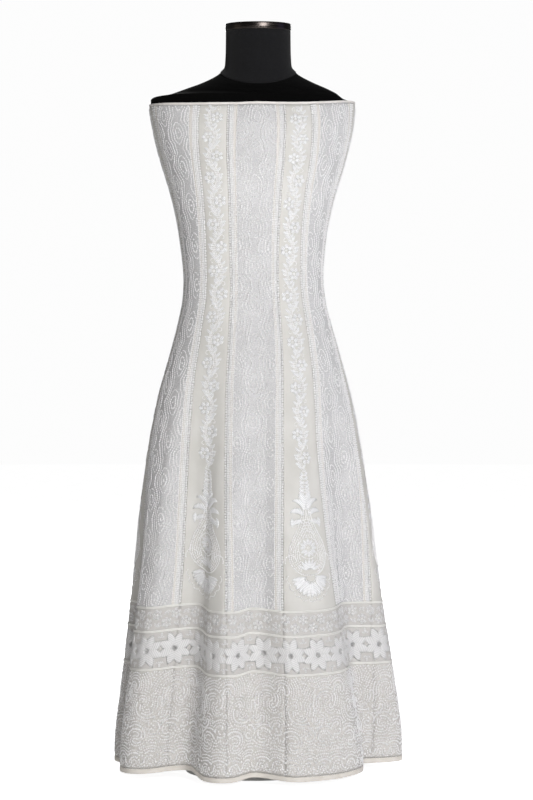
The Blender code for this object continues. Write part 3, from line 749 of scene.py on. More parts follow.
def piece(name, points, faces, material, uv=None, values=None, corner_uv=None, which=None):
    """A smooth mesh object from points and arrays of faces, each row of which is one face.

    uv gives each point its place on the cloth in metres, or corner_uv each face's corners, values
    gives each point's named numbers, and which gives each face's place in a list of materials.
    """
    corners = np.concatenate([f.ravel() for f in faces]).astype(np.int32)
    sizes = np.concatenate([np.full(len(f), f.shape[1]) for f in faces])
    mesh = bpy.data.meshes.new(name)
    mesh.vertices.add(len(points))
    mesh.vertices.foreach_set("co", np.asarray(points, np.float32).ravel())
    mesh.loops.add(len(corners))
    mesh.loops.foreach_set("vertex_index", corners)
    mesh.polygons.add(len(sizes))
    mesh.polygons.foreach_set("loop_start", (np.cumsum(sizes) - sizes).astype(np.int32))
    mesh.update(calc_edges=True)
    mesh.shade_smooth()
    if uv is not None:
        corner_uv = np.asarray(uv)[corners]
    if corner_uv is not None:
        layer = mesh.uv_layers.new(name="cloth")
        layer.data.foreach_set("uv", np.asarray(corner_uv, np.float32).ravel())
    for title, numbers in (values or {}).items():
        attribute = mesh.attributes.new(title, "FLOAT", "POINT")
        attribute.data.foreach_set("value", np.asarray(numbers, np.float32).ravel())
    for finish in material if isinstance(material, list) else [material]:
        mesh.materials.append(finish)
    if which is not None:
        mesh.polygons.foreach_set("material_index", np.asarray(which, np.int32))
    made = bpy.data.objects.new(name, mesh)
    bpy.context.scene.collection.objects.link(made)
    return made


def belongs(made, slot, *nodes):
    """A piece that moves with the part and may stand for some nodes, which it hides. slot is not
    used.
    """
    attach(made, "root")
    if nodes:
        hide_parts(*nodes)
    return made


def grid_faces(rows, columns, closed_round=False):
    """Quads of a grid whose rows run down and whose columns run to the right, seen from outside."""
    across = columns if closed_round else columns - 1
    r, c = np.meshgrid(np.arange(rows - 1), np.arange(across), indexing="ij")
    a, b = r * columns + c, r * columns + (c + 1) % columns
    return np.stack([a, a + columns, b + columns, b], axis=-1).reshape(-1, 4)


def shell_faces(rows, columns):
    """Quads of a thin wall: an outer grid, the same grid inside it turned round, and four rims."""
    outer = grid_faces(rows, columns)
    below = rows * columns
    c = np.arange(columns - 1)
    foot = (rows - 1) * columns + c
    r = np.arange(rows - 1) * columns
    end = r + columns - 1
    rims = [
        np.stack([c, c + 1, c + 1 + below, c + below], axis=-1),
        np.stack([foot, foot + below, foot + 1 + below, foot + 1], axis=-1),
        np.stack([r + columns, r, r + below, r + columns + below], axis=-1),
        np.stack([end, end + columns, end + columns + below, end + below], axis=-1),
    ]
    return np.concatenate([outer, outer[:, ::-1] + below, *rims])


def ring_corners(around, stations):
    """Row and column of the four corners of each quad of a closed ring: its outline's points are
    rows and its stations are columns, and both go on past their last one."""
    r, c = np.meshgrid(np.arange(around), np.arange(stations), indexing="ij")
    return [(r, c), (r + 1, c), (r + 1, c + 1), (r, c + 1)]


def ring_faces(around, stations):
    """Quads of a closed ring."""
    corners = ring_corners(around, stations)
    faces = [row % around * stations + column % stations for row, column in corners]
    return np.stack(faces, axis=-1).reshape(-1, 4)


# Marks of thread

# A stitch's points as shares of half its length, half its width and its height, and its faces.
STITCH_POINTS = (
    (-1.0, -0.9, -0.1), (1.0, -0.9, -0.1), (1.0, 0.9, -0.1), (-1.0, 0.9, -0.1),
    (-0.5, 0.0, 1.0), (0.5, 0.0, 1.0),
)
STITCH_FACES = (
    (0, 1, 5), (0, 5, 4), (1, 2, 5), (2, 3, 4), (2, 4, 5), (3, 0, 4), (0, 3, 2), (0, 2, 1),
)
# A satin leaf's section as shares of half its width and of its height.
SATIN_LEAF = ((-1.0, -0.1), (-0.62, 0.90), (0.0, 0.50), (0.62, 0.90), (1.0, -0.1), (0.0, -0.3))
FLOSS, SATIN = 0, 1  # which finish a mark takes
STITCH_RISE = 0.46  # height of a stitch as a share of its width
LEAF_RISE = 0.0011  # height of a satin leaf of the full width
LEAF_FULL = 0.0080
LEAF_STATIONS = 4
PLACE_SPREAD = 0.00018  # how unevenly the hand sets a stitch


def mark_faces(stations, sides):
    """Triangles of one closed mark: a fan at each tip and a band between each two stations."""
    i = np.arange(sides)
    n = (i + 1) % sides
    tip = 1 + stations * sides
    last = tip - sides
    zero = np.zeros(sides, int)
    found = [np.stack([zero, 1 + n, 1 + i], -1), np.stack([zero + tip, last + i, last + n], -1)]
    for station in range(stations - 1):
        a, b = 1 + station * sides + i, 1 + station * sides + n
        found.append(np.stack([a, b, b + sides], -1))
        found.append(np.stack([a, b + sides, a + sides], -1))
    return np.concatenate(found)


def satin_leaves(cloth, place, paths, half_widths, heights):
    """Closed satin leaves along short paths, laid on the cloth.

    At each station the leaf's section is set square to its path, and place turns the flat
    pattern's metres into a column and a row of the cloth. Both ends close in a point on it.
    """
    side, rise = np.array(SATIN_LEAF).T
    along = unit(paths[:, 2:] - paths[:, :-2])
    left = together(-along[..., 1], along[..., 0])
    spread = (-side * half_widths[..., None])[..., None] * left[:, :, None]
    body = paths[:, 1:-1, None] + spread
    marks, stations, sides = body.shape[:3]
    flat = np.concatenate([paths[:, :1], body.reshape(marks, -1, 2), paths[:, -1:]], axis=1)
    ends = np.zeros((marks, 1))
    lift = np.concatenate([ends, (heights[..., None] * rise).reshape(marks, -1), ends], axis=1)
    column, row = place(flat[..., 0], flat[..., 1])
    points = cloth.at(column, row, lift)
    travelled = np.cumsum(np.linalg.norm(np.diff(paths, axis=1), axis=-1), axis=1)
    middle = np.repeat(travelled[:, :-1], sides, axis=1)
    lengthwise = np.concatenate([ends, middle, travelled[:, -1:]], axis=1)
    spans = (side * half_widths[..., None]).reshape(marks, -1)
    crosswise = np.concatenate([ends, spans, ends], axis=1)
    count = flat.shape[1]
    faces = mark_faces(stations, sides)[None] + (np.arange(marks) * count)[:, None, None]
    uv = together(crosswise, lengthwise)
    return points.reshape(-1, 3), faces.reshape(-1, 3), uv.reshape(-1, 2)


def short_stitches(cloth, place, middles, angles, halves):
    """Closed stitches shaped as a hipped roof, four corners on the cloth and a ridge half as long
    above them. halves gives each one's half length, half width and height."""
    shares = np.array(STITCH_POINTS)
    along = together(np.cos(angles), np.sin(angles))
    left = together(-along[:, 1], along[:, 0])
    sizes = shares * halves[:, None]
    flat = middles[:, None] + sizes[..., :1] * along[:, None] + sizes[..., 1:2] * left[:, None]
    column, row = place(flat[..., 0], flat[..., 1])
    points = cloth.at(column, row, sizes[..., 2])
    faces = np.array(STITCH_FACES) + (len(shares) * np.arange(len(middles)))[:, None, None]
    uv = sizes[..., [1, 0]]
    return points.reshape(-1, 3), faces.reshape(-1, 3), uv.reshape(-1, 2)


def joined(parts):
    """Several sets of points, triangles, places and finish numbers as one."""
    points, faces, places, which, first = [], [], [], [], 0
    for finish, (these, corners, uv) in parts:
        points.append(these)
        faces.append(corners + first)
        places.append(uv)
        which.append(np.full(len(corners), finish))
        first += len(these)
    return tuple(np.concatenate(every) for every in (points, faces, places, which))


class Pattern:
    """Needlework drawn flat, in metres: leaves as rows of x, y, angle, length, width and bend,
    stitches as rows of x, y, angle, length and width. Angles turn from +x towards +y."""

    def __init__(self, leaves=(), stitches=()):
        self.leaves = np.asarray(leaves, float).reshape(-1, 6)
        self.stitches = np.asarray(stitches, float).reshape(-1, 5)

    def __add__(self, other):
        return Pattern(
            np.concatenate([self.leaves, other.leaves]),
            np.concatenate([self.stitches, other.stitches]),
        )

    def moved(self, x=0.0, y=0.0, mirror=False):
        """A copy at another place, mirrored left to right or not."""
        copies = []
        for rows in (self.leaves.copy(), self.stitches.copy()):
            if mirror:
                rows[:, 0] *= -1
                rows[:, 2] = math.pi - rows[:, 2]
                rows[:, 5:] *= -1
            rows[:, :2] += x, y
            copies.append(rows)
        return Pattern(*copies)

    def sewn(self, cloth, place, seed):
        """The marks of all its leaves and stitches on the cloth, each a little unlike the next."""
        chance = np.random.default_rng(seed)
        parts = []
        if len(self.stitches):
            x, y, angle, length, width = self.stitches.T
            count = len(x)
            angle = angle + chance.normal(0, 0.10, count)
            half_length = 0.5 * length * chance.uniform(0.88, 1.12, count)
            middles = together(x, y) + chance.normal(0, PLACE_SPREAD, (count, 2))
            half_width = 0.5 * width * chance.uniform(0.88, 1.12, count)
            high = STITCH_RISE * width * chance.uniform(0.8, 1.2, count)
            halves = together(half_length, half_width, high)
            parts.append((FLOSS, short_stitches(cloth, place, middles, angle, halves)))
        if len(self.leaves):
            leaves = self.leaves.copy()
            leaves[:, 2] += chance.normal(0, 0.05, len(leaves))
            leaves[:, 3:5] *= chance.uniform(0.93, 1.07, (len(leaves), 2))
            paths, half = leaf_paths(leaves)
            swell = (half / half.max()) ** 0.7
            high = LEAF_RISE * swell * (leaves[:, 4, None] / LEAF_FULL) ** 0.4
            parts.append((SATIN, satin_leaves(cloth, place, paths, half, high)))
        return parts


def leaf_paths(leaves):
    """Middle lines and half widths of leaves: a line that turns evenly by its bend from the base
    to the tip, and a width that swells as the sine of the share of the way, to the power 0.8."""
    x, y, angle, length, width, bend = leaves.T
    share = np.linspace(0, 1, LEAF_STATIONS + 2)
    heading = angle[:, None] + bend[:, None] * ((share[1:] + share[:-1]) / 2 - 0.5)
    stride = (length / (LEAF_STATIONS + 1))[:, None, None]
    step = together(np.cos(heading), np.sin(heading)) * stride
    base = together(x, y)[:, None]
    paths = np.concatenate([base, base + np.cumsum(step, axis=1)], axis=1)
    half = 0.5 * width[:, None] * np.sin(math.pi * share[1:-1] ** 0.85) ** 0.8
    return paths, half


def dotted(path, pitch, length, width):
    """Stitches a pitch apart along a line of points."""
    step = np.linalg.norm(np.diff(path, axis=0), axis=1)
    run = np.concatenate([[0], np.cumsum(step)])
    places = np.arange(pitch / 2, run[-1], pitch)
    x, y = np.interp(places, run, path[:, 0]), np.interp(places, run, path[:, 1])
    ahead = np.minimum(places + pitch / 4, run[-1])
    behind = np.maximum(places - pitch / 4, 0)
    dx = np.interp(ahead, run, path[:, 0]) - np.interp(behind, run, path[:, 0])
    dy = np.interp(ahead, run, path[:, 1]) - np.interp(behind, run, path[:, 1])
    return together(x, y, np.arctan2(dy, dx), length, width)


def dotted_rows(lines, row):
    """A pattern of dotted rows of one kind along several lines."""
    return Pattern(stitches=np.concatenate([dotted(line, *row) for line in lines]))


def arc(x, y, radius, start, sweep, shrink=0.0, points=40):
    """Points of an arc in degrees whose radius shrinks evenly by a share of itself along it."""
    share = np.linspace(0, 1, points)
    angle = np.radians(start + sweep * share)
    reach = radius * (1 - shrink * share)
    return together(x + reach * np.cos(angle), y + reach * np.sin(angle))


def level_stitches(field, left, right, low, high, spacing):
    """Places, angles and levels of stitches along a field's level lines, a spacing apart.

    Scan lines cross the region a pitch apart, level ones where the field's lines are steep and
    upright ones where they are flat, and there is a stitch wherever one passes a level. Every
    other level's scan lines lie half a pitch on, so that neighbouring rows alternate. Flat
    stretches of the field get none.
    """
    pitch, tiny, flattest = STITCH_PITCH, 2e-4, 0.15
    found = []
    for upright in (False, True):
        for odd in (0, 1):
            fine = np.arange(low if upright else left, high if upright else right, pitch / 8)
            start = (left if upright else low) + odd * pitch / 2
            lines = np.arange(start, right if upright else high, pitch)
            over, line = np.meshgrid(fine, lines)
            x, y = (line, over) if upright else (over, line)
            value = field(x, y) / spacing
            slope_x = (field(x + tiny, y) - field(x - tiny, y)) / (2 * tiny)
            slope_y = (field(x, y + tiny) - field(x, y - tiny)) / (2 * tiny)
            flat = np.abs(slope_y) > np.abs(slope_x)
            cell = np.floor(value)
            level = np.maximum(cell[:, 1:], cell[:, :-1])
            passes = np.abs(np.diff(cell, axis=1)) == 1
            keep = passes & (level % 2 == odd) & (flat == upright)[:, :-1]
            keep &= np.hypot(slope_x, slope_y)[:, :-1] > flattest
            share = (level - value[:, :-1])[keep] / np.diff(value, axis=1)[keep]
            at_x = x[:, :-1][keep] + share * np.diff(x, axis=1)[keep]
            at_y = y[:, :-1][keep] + share * np.diff(y, axis=1)[keep]
            angle = np.arctan2(slope_x[:, :-1][keep], -slope_y[:, :-1][keep])
            found.append(together(at_x, at_y, angle, level[keep]))
    return np.concatenate(found).T


# Patterns

# Kinds of dotted row: the pitch of the stitches, and a stitch's length and width.
NET_ROW = (0.0037, 0.0033, 0.0028)
BAND_ROW = (0.0038, 0.0031, 0.0022)
STEM_ROW = (0.0035, 0.0031, 0.0024)
FINE_ROW = (0.0034, 0.0030, 0.0022)
NECK_ROW = (0.0034, 0.0030, 0.0023)
SCALLOP_ROW = (0.0033, 0.0029, 0.0021)
OUTLINE_ROW = (0.0036, 0.0034, 0.0030)
CURL_ROW = (0.0028, 0.0025, 0.0017)
EYE_ROW = (0.0022, 0.0020, 0.0018)
STITCH_PITCH, STITCH_LENGTH, STITCH_WIDTH = NET_ROW
BEAD_PITCH, BEAD_LENGTH, BEAD_WIDTH = 0.0047, 0.0039, 0.0043

BAND_WIDTHS = table(
    ("height", "band"),
    (0.300, 0.0150), (0.600, 0.0130), (0.890, 0.0120), (1.2156, 0.0172),
)
BAND_ROWS_IN = (0.0040, 0.0069, 0.0098)  # how far the band's own rows lie from the seam
JAAL_COLUMN = 0.0310
JAAL_EYE = 0.0700
JAAL_OPENING = 0.42
JAAL_ROW = 0.0043
BORDER_TOP = TAPES_FROM_TOP[0]
BORDER_FOOT = TAPES_FROM_TOP[2] - TAPE_HEIGHT


def jaal_field(start_x, start_y):
    """The ogee net: cos of the way across plus a share of cos of the way up gives columns of eyes
    that stand staggered, and its arc cosine spaces the lines in them evenly, in metres. Sines of
    a millimetre or two make it waver as drawn by hand."""
    around, upward = math.pi / JAAL_COLUMN, 2 * math.pi / JAAL_EYE

    def field(x, y):
        drift = 0.0011 * np.sin(2 * math.pi * y / 0.047 + 1.3 + 40 * start_y)
        x = x + start_x + drift + 0.0007 * np.sin(2 * math.pi * y / 0.019)
        y = y + start_y + 0.0016 * np.sin(2 * math.pi * x / 0.028)
        hills = np.cos(around * x) + JAAL_OPENING * np.cos(upward * y)
        return np.arccos(np.clip(hills / (1 + JAAL_OPENING), -1, 1)) / around

    return field


def jaal(cloth, kali):
    """Close work of one kali: dotted rows round staggered eyes, kept inside two straight rows,
    and three straight rows in the band along each seam."""
    half_most = 0.5 * cloth.widths[:, kali].max()
    low, high = BORDER_TOP + 0.002, TOP_EDGE - 0.002
    field = jaal_field((kali % 4) * 0.0085, kali * 0.0137)
    x, y, angle, level = level_stitches(field, -half_most, half_most, low, high, JAAL_ROW)
    keep = np.abs(x) < 0.5 * cloth.width(kali, y) - read(BAND_WIDTHS, "band", y) - 0.0022
    bold = np.where(level % 3 == 0, 1.24, 0.90)
    found = [Pattern(stitches=together(x, y, angle, STITCH_LENGTH, STITCH_WIDTH * bold)[keep])]
    up = np.linspace(low, high, 200)
    half = 0.5 * cloth.width(kali, up)
    for side in (-1, 1):
        edge = together(side * (half - read(BAND_WIDTHS, "band", up)), up)
        found.append(dotted_rows([edge], NET_ROW))
        beside = [together(side * (half - inward), up) for inward in BAND_ROWS_IN]
        found.append(dotted_rows(beside, BAND_ROW))
    return sum(found, Pattern())


VINE_PERIOD = 0.0820
VINE_SWING = 0.0070
VINE_FOOT = 0.5450
VINE_STEMS = (-0.0027, 0.0, 0.0027)
# Leaves of one bay of the vine: height from the bay's middle, which side of the stem it springs
# from, where 1 is the side the stem swings to, its angle from upright, its length and its width.
VINE_LEAVES = table(
    ("up", "side", "angle", "length", "width"),
    (-0.0190, 1, 58, 0.0125, 0.0056),
    (-0.0115, 1, 74, 0.0118, 0.0054),
    (-0.0040, 1, 54, 0.0115, 0.0052),
    (0.0040, 1, 76, 0.0120, 0.0054),
    (0.0110, 1, 50, 0.0130, 0.0056),
    (0.0170, 1, 28, 0.0130, 0.0054),
    (-0.0180, -1, 40, 0.0110, 0.0050),
    (0.0150, -1, 62, 0.0100, 0.0048),
)


def flower(radius, petals, width, start=90.0, eye=0.24, pointed=False):
    """A round of satin petals about an eye of small stitches. Petals are broad near their tips,
    as leaves drawn from the rim inwards, or pointed, as leaves drawn outwards."""
    angle = np.radians(start + np.arange(petals) * 360 / petals)
    first = eye * radius
    base, heading = (first, angle) if pointed else (radius, angle + math.pi)
    leaves = together(
        base * np.cos(angle), base * np.sin(angle), heading, radius - first, width, 0.0
    )
    return Pattern(leaves, dotted(arc(0, 0, 0.45 * first, 0, 360), *EYE_ROW))


def vine(kali):
    """A climbing vine: a stem of three dotted rows that swings as a sine, and in every bay a
    flower, leaves and a curl."""
    top = TOP_EDGE - 0.004
    start = VINE_FOOT + 0.004 * (kali % 3)
    up = np.linspace(VINE_FOOT, top, 700)

    def swing(height):
        return VINE_SWING * np.sin(2 * math.pi * (height - start) / VINE_PERIOD)

    stems = [together(swing(up) + offset, up) for offset in VINE_STEMS]
    found = [dotted_rows(stems, STEM_ROW)]
    for bay in range(int((top - start) / (VINE_PERIOD / 2))):
        side = 1 if bay % 2 == 0 else -1
        middle = start + (bay + 0.5) * VINE_PERIOD / 2
        height = middle + VINE_LEAVES["up"]
        sprung = side * VINE_LEAVES["side"]
        lean = np.radians(90 - sprung * VINE_LEAVES["angle"])
        leaves = together(
            swing(height), height, lean, VINE_LEAVES["length"], VINE_LEAVES["width"], sprung * 0.5
        )
        curl = arc(-side * 0.0095, middle + 0.0180, 0.0050, 90 - 90 * side, side * 290, 0.5)
        found.append(flower(0.0120, 6, 0.0086, 30.0 * bay).moved(-side * 0.0076, middle))
        found.append(Pattern(leaves, dotted(curl, *CURL_ROW)))
    return sum(found, Pattern()).moved(mirror=kali % 4 == 1)


BUTA_FOOT = 0.3120
BUTA_ROW = 0.0040
# Parts of the buta, from its foot up.
BUTA_FAN = 0.050
BUTA_BELLY = 0.086
BUTA_ROSETTE = 0.1000
# Drooping leaves at its neck: x, y, angle in degrees, length, width and bend.
BUTA_DROOPS = (
    (0.003, 0.170, 64, 0.032, 0.0120, -1.9),
    (0.004, 0.163, 38, 0.036, 0.0122, -2.2),
    (0.004, 0.155, 12, 0.034, 0.0116, -2.0),
    (0.006, 0.146, -14, 0.026, 0.0095, -1.2),
    (0.026, 0.1530, -84, 0.019, 0.0080, -0.6),
)


def buta_half_width(height):
    """Half width of the drop: half an ellipse below its widest height, then a falling cosine."""
    up = height - BUTA_BELLY
    belly = 0.038 * np.sqrt(np.clip(1 - (up / 0.034) ** 2, 0, 1))
    neck = 0.5 + 0.5 * np.cos(math.pi * np.clip(up / 0.078, 0, 1))
    return np.where(height < BUTA_BELLY, belly, 0.0085 + 0.0295 * neck)


def buta_inset(x, y):
    """Distance inside the drop's outline: how far in from it, divided by the outline's slope."""
    slope = (buta_half_width(y + 1e-4) - buta_half_width(y - 1e-4)) / 2e-4
    inside = buta_half_width(y) - np.abs(x)
    return inside / np.sqrt(1 + np.minimum(np.abs(slope), 3.0) ** 2)


def buta_fill():
    """Dotted rows that echo the drop's outline, clear of the rosette and of the leaves below it."""
    x, y, angle, level = level_stitches(buta_inset, -0.038, 0.038, 0.053, 0.170, BUTA_ROW)
    keep = (level >= 1) & (np.hypot(x, y - BUTA_ROSETTE) > 0.0208)
    keep &= (np.abs(x) > 0.014) | (y > 0.090)
    return Pattern(stitches=together(x, y, angle, 0.0034, 0.0026)[keep])


def buta():
    """A paisley buta, drawn upwards from its foot: a scalloped fan of petals, a filled drop with a
    rosette and leaves in it, drooping leaves about its neck, and a bud of paired leaves on top."""
    fan = np.radians(np.linspace(188, 352, 13))
    between = 0.5 * (fan[1:] + fan[:-1])
    scallops = np.radians(np.linspace(186, 354, 9))
    rays = np.radians([28, 50, 70, 90, 110, 130, 152])
    up = np.linspace(0.052, 0.164, 120)
    reach = np.linspace(0.015, 0.036, 12)
    found = [
        Pattern(together(
            0.0375 * np.cos(fan), BUTA_FAN + 0.0375 * np.sin(fan), fan + math.pi, 0.030, 0.0078, 0.0
        )),
        dotted_rows(
            [together(reach * math.cos(a), BUTA_FAN + reach * math.sin(a)) for a in between],
            STEM_ROW,
        ),
        dotted_rows([arc(0, BUTA_FAN, radius, 185, 170) for radius in (0.0100, 0.0140)], FINE_ROW),
        dotted_rows([
            arc(0.0395 * math.cos(a), BUTA_FAN + 0.0375 * math.sin(a), 0.0062,
                math.degrees(a) - 80, 160)
            for a in scallops
        ], SCALLOP_ROW),
        dotted_rows([together(side * buta_half_width(up), up) for side in (-1, 1)], OUTLINE_ROW),
        buta_fill(),
        flower(0.0170, 12, 0.0060).moved(0, BUTA_ROSETTE),
        dotted_rows([arc(0, BUTA_ROSETTE, 0.0190, 0, 360)], STEM_ROW),
        Pattern(together(
            0.004 * np.cos(rays), 0.060 + 0.002 * np.sin(rays), rays, 0.021, 0.0058, 0.0
        )),
        dotted_rows([
            arc(0, 0.124 + row * 0.0075 - 0.010, 0.0150 - row * 0.0022, 30, 120)
            for row in range(5)
        ], NECK_ROW),
    ]
    droops = np.array(BUTA_DROOPS)
    droops[:, 2] = np.radians(droops[:, 2])
    for side in (-1, 1):
        found.append(Pattern(droops).moved(mirror=side < 0))
        curl = arc(side * 0.035, 0.077, 0.011, 90 - side * 110, side * 200)
        found.append(dotted_rows([curl], FINE_ROW))
    for row in range(8):
        height = 0.176 + row * 0.0072
        spread = 0.0115 * (1 - row / 12) + 0.0015
        found.append(Pattern(together(
            0.0, height, np.radians([38, 142]), 0.016 * (1 - row / 18), 0.0062, [0.7, -0.7]
        )))
        found.append(dotted_rows([arc(0, height + 0.001, spread, 20, 140)], FINE_ROW))
    return sum(found, Pattern())


BIG_FLOWERS = 30
SMALL_FLOWERS = 86


def leaves_of(*rows):
    """A pattern of leaves given as x, y, angle in degrees, length, width and bend."""
    leaves = np.array(rows)
    leaves[:, 2] = np.radians(leaves[:, 2])
    return Pattern(leaves)


def flower_border(length):
    """The border's row of eight-petalled flowers, so close that their side petals touch."""
    found = []
    middle = 0.5 * (TAPES_FROM_TOP[1] - TAPE_HEIGHT + TAPES_FROM_TOP[2])
    pitch = length / BIG_FLOWERS
    bloom = flower(0.0318, 8, 0.0184, 22.5, 0.03, pointed=True)
    for number in range(BIG_FLOWERS):
        centre = (number + 0.35) * pitch
        found.append(bloom.moved(centre, middle))
        for side in (-1, 1):
            corner = leaves_of(
                (0.5 * pitch, side * 0.0250, 90 * side, 0.0105, 0.0046, 0.4),
                (0.5 * pitch, side * 0.0250, 90 * side - 70, 0.0080, 0.0036, 0.3),
                (0.5 * pitch, side * 0.0250, 90 * side + 70, 0.0080, 0.0036, -0.3),
            )
            found.append(corner.moved(centre, middle - side * 0.004))
    return sum(found, Pattern())


def small_flower_band(length):
    """The narrow band of small flowers in two staggered rows, with leaves between them."""
    found = []
    middle = 0.5 * (TAPES_FROM_TOP[0] - TAPE_HEIGHT + TAPES_FROM_TOP[1])
    pitch = length / SMALL_FLOWERS
    for number in range(SMALL_FLOWERS):
        side = 1 if number % 2 else -1
        centre = (number + 0.5) * pitch
        bloom = flower(0.0104, 6, 0.0070, 18.0 * side + 25 * number, 0.2)
        found.append(bloom.moved(centre, middle + side * 0.0074))
        spray = leaves_of(
            (0.0, -0.0135, 60, 0.0100, 0.0042, 0.5),
            (0.0, -0.0135, 118, 0.0095, 0.0040, -0.5),
            (0.0, -0.0130, 14, 0.0085, 0.0036, 0.6),
        )
        spray.leaves[:, (1, 2, 5)] *= side
        found.append(spray.moved(centre, middle))
    return sum(found, Pattern())


SCROLL_REPEATS = 15
SCROLL_ROW = 0.0047
# Spines of the scrolls in one repeat of the deep border: the middle across as a share of the
# repeat, the height above the hem band, radius, where the arc starts and how far it sweeps in
# degrees, and how much of its radius it loses on the way.
SCROLL_SPINES = table(
    ("across", "up", "radius", "start", "sweep", "shrink"),
    (0.26, 0.128, 0.026, 200, -250, 0.55),
    (0.76, 0.112, 0.026, 20, -250, 0.55),
    (0.50, 0.146, 0.012, 180, -200, 0.30),
    (0.02, 0.096, 0.012, 0, -200, 0.30),
    (0.14, 0.064, 0.020, 10, 270, 0.60),
    (0.64, 0.058, 0.020, 170, -270, 0.60),
    (0.40, 0.078, 0.009, 90, 220, 0.40),
    (0.90, 0.070, 0.009, 90, -220, 0.40),
    (0.125, 0.012, 0.013, 0, 180, 0.00),
    (0.375, 0.014, 0.013, 0, 180, 0.00),
    (0.625, 0.012, 0.013, 0, 180, 0.00),
    (0.875, 0.014, 0.013, 0, 180, 0.00),
)


def scroll_field(repeat, foot):
    """Distance to the nearest scroll's spine, in metres, repeated all round."""
    spines = []
    for scroll in rows_of(SCROLL_SPINES):
        line = arc(
            scroll["across"] * repeat, foot + scroll["up"], scroll["radius"],
            scroll["start"], scroll["sweep"], scroll["shrink"], points=26,
        )
        for shift in (-repeat, 0, repeat):
            spines.append(line + np.array([shift, 0.0]))
    points = np.concatenate(spines)

    def field(x, y):
        nearest = np.full(np.shape(x), 1.0)
        for spot in points:
            nearest = np.minimum(nearest, np.hypot(x - spot[0], y - spot[1]))
        return nearest + 0.0006 * np.sin(2 * math.pi * x / (repeat / 3)) + 0.0012

    return field


def scroll_border(length):
    """The deep border: dotted rows that echo scrolls and a row of scallops, repeat by repeat."""
    repeat = length / SCROLL_REPEATS
    field = scroll_field(repeat, PANEL_FOOT)
    x, y, angle, level = level_stitches(
        field, 0, repeat, PANEL_FOOT + 0.003, BORDER_FOOT - 0.002, SCROLL_ROW
    )
    bold = np.where(level <= 1, 1.25, 0.95)
    one = Pattern(stitches=together(x, y, angle, STITCH_LENGTH * bold, STITCH_WIDTH * bold))
    copies = [one.moved(number * repeat) for number in range(SCROLL_REPEATS)]
    return sum(copies, Pattern())


# Gown

RING_COLUMNS = 504
CORD_COLUMNS = 840
CORD_RADIUS = 0.0010
CORD_OUT = 0.0007
CORD_SIDES = 6
CORD_DROPS = {"upper": 0.0011, "lower": 0.0031}  # below the tape's top edge
EDGE_TURNS = (0.0, 0.785, 1.571)

MATERIALS = {
    "jaal_georgette": georgette("close_worked_white_georgette", "#C2C1C2", "#B5B4B5"),
    "vine_georgette": georgette("off_white_georgette_over_lining", "#D1CFCB", "#C8C6C1"),
    "plain_georgette": folded_georgette("folded_cream_georgette", "#DDD8D1", "#D3CDC5"),
    "binding_georgette": folded_georgette("folded_white_georgette", "#E0DCD9", "#D6D1CD"),
    "floss": cotton_floss("bleached_cotton_floss", "#E6E6E7", FLOSS_WHITE, 0.0011),
    "satin": cotton_floss("satin_stitched_floss", "#BEBEBF", "#EDEDEE", 0.0026),
    "soft_satin": cotton_floss("satin_stitched_dull_floss", "#B9B8B7", "#DBDADA", 0.0030),
    "cord": cotton_floss("twisted_cotton_cord", "#D5D4D0", "#EFEEEA", 0.0024),
    "jersey": jersey("black_single_jersey", "#030303", "#080808", 0.01, 0.05),
    "neck_jersey": jersey("charcoal_single_jersey", "#111112", "#1B1B1E", 0.05, 0.12),
    "chrome": plated_steel("black_nickel_plated_steel"),
    "cap": painted("moulded_black_plastic", "#141414", "#202020", 0.42, 0.0012, 0.00006),
    "steel": painted("white_powder_coated_steel", "#DADAD8", "#E8E8E6", 0.50, 0.0016, 0.00010),
    "board": painted("black_painted_plywood", "#161513", "#211F1D", 0.62, 0.0030, 0.00015),
}


def kali_shell(cloth, kali, name):
    """One kali: its part of the cloth's face, the same face a wall's thickness inside, and rims."""
    first, last = cloth.firsts[kali], cloth.firsts[kali + 1]
    outer = cloth.points[:, first:last + 1]
    inner = outer - CLOTH_WALL * cloth.normals[:, first:last + 1]
    rows, columns = outer.shape[:2]
    points = np.concatenate([outer.reshape(-1, 3), inner.reshape(-1, 3)])
    width = cloth.widths[:, kali, None]
    across = np.linspace(-0.5, 0.5, columns) * width
    level = cloth.rows[:, None]
    uv = np.tile(together(across, level).reshape(-1, 2), (2, 1))
    if kali % 2 == 0:
        finish, slot = "jaal_georgette", "close_worked_georgette"
        band_place = (0.5 * width - np.abs(across)) / read(BAND_WIDTHS, "band", level)
        covered = ease(band_place, 0.95, 1.05)
    else:
        finish, slot = "vine_georgette", "vine_georgette"
        band_place = np.full(across.shape, 2.0)
        covered = 0.0
    covered = np.where(level > BORDER_TOP - 0.002, covered, (level < BORDER_FOOT) * 1.0)
    named = {"band_place": band_place, "worked": covered, "half_width": 0.5 * width}
    values = {
        title: np.tile(np.broadcast_to(numbers, across.shape).ravel(), 2)
        for title, numbers in named.items()
    }
    faces = shell_faces(rows, columns)
    title = name.replace("kali", "panel")
    shell = piece(title, points, [faces], MATERIALS[finish], uv, values)
    is_face = np.arange(len(faces)) < 2 * (rows - 1) * (columns - 1)
    shell.data.polygons.foreach_set("use_smooth", is_face)  # the rims keep their own normals
    return belongs(shell, slot, name)


def needlework(cloth, name, patterns, slot, seed, satin="satin"):
    """One piece of all the marks of several patterns, each with its own way onto the cloth."""
    parts = []
    for number, (pattern, place) in enumerate(patterns):
        parts += pattern.sewn(cloth, place, seed + number)
    points, faces, uv, which = joined(parts)
    finishes = [MATERIALS["floss"], MATERIALS[satin]]
    return belongs(piece(name, points, [faces], finishes, uv, which=which), slot)


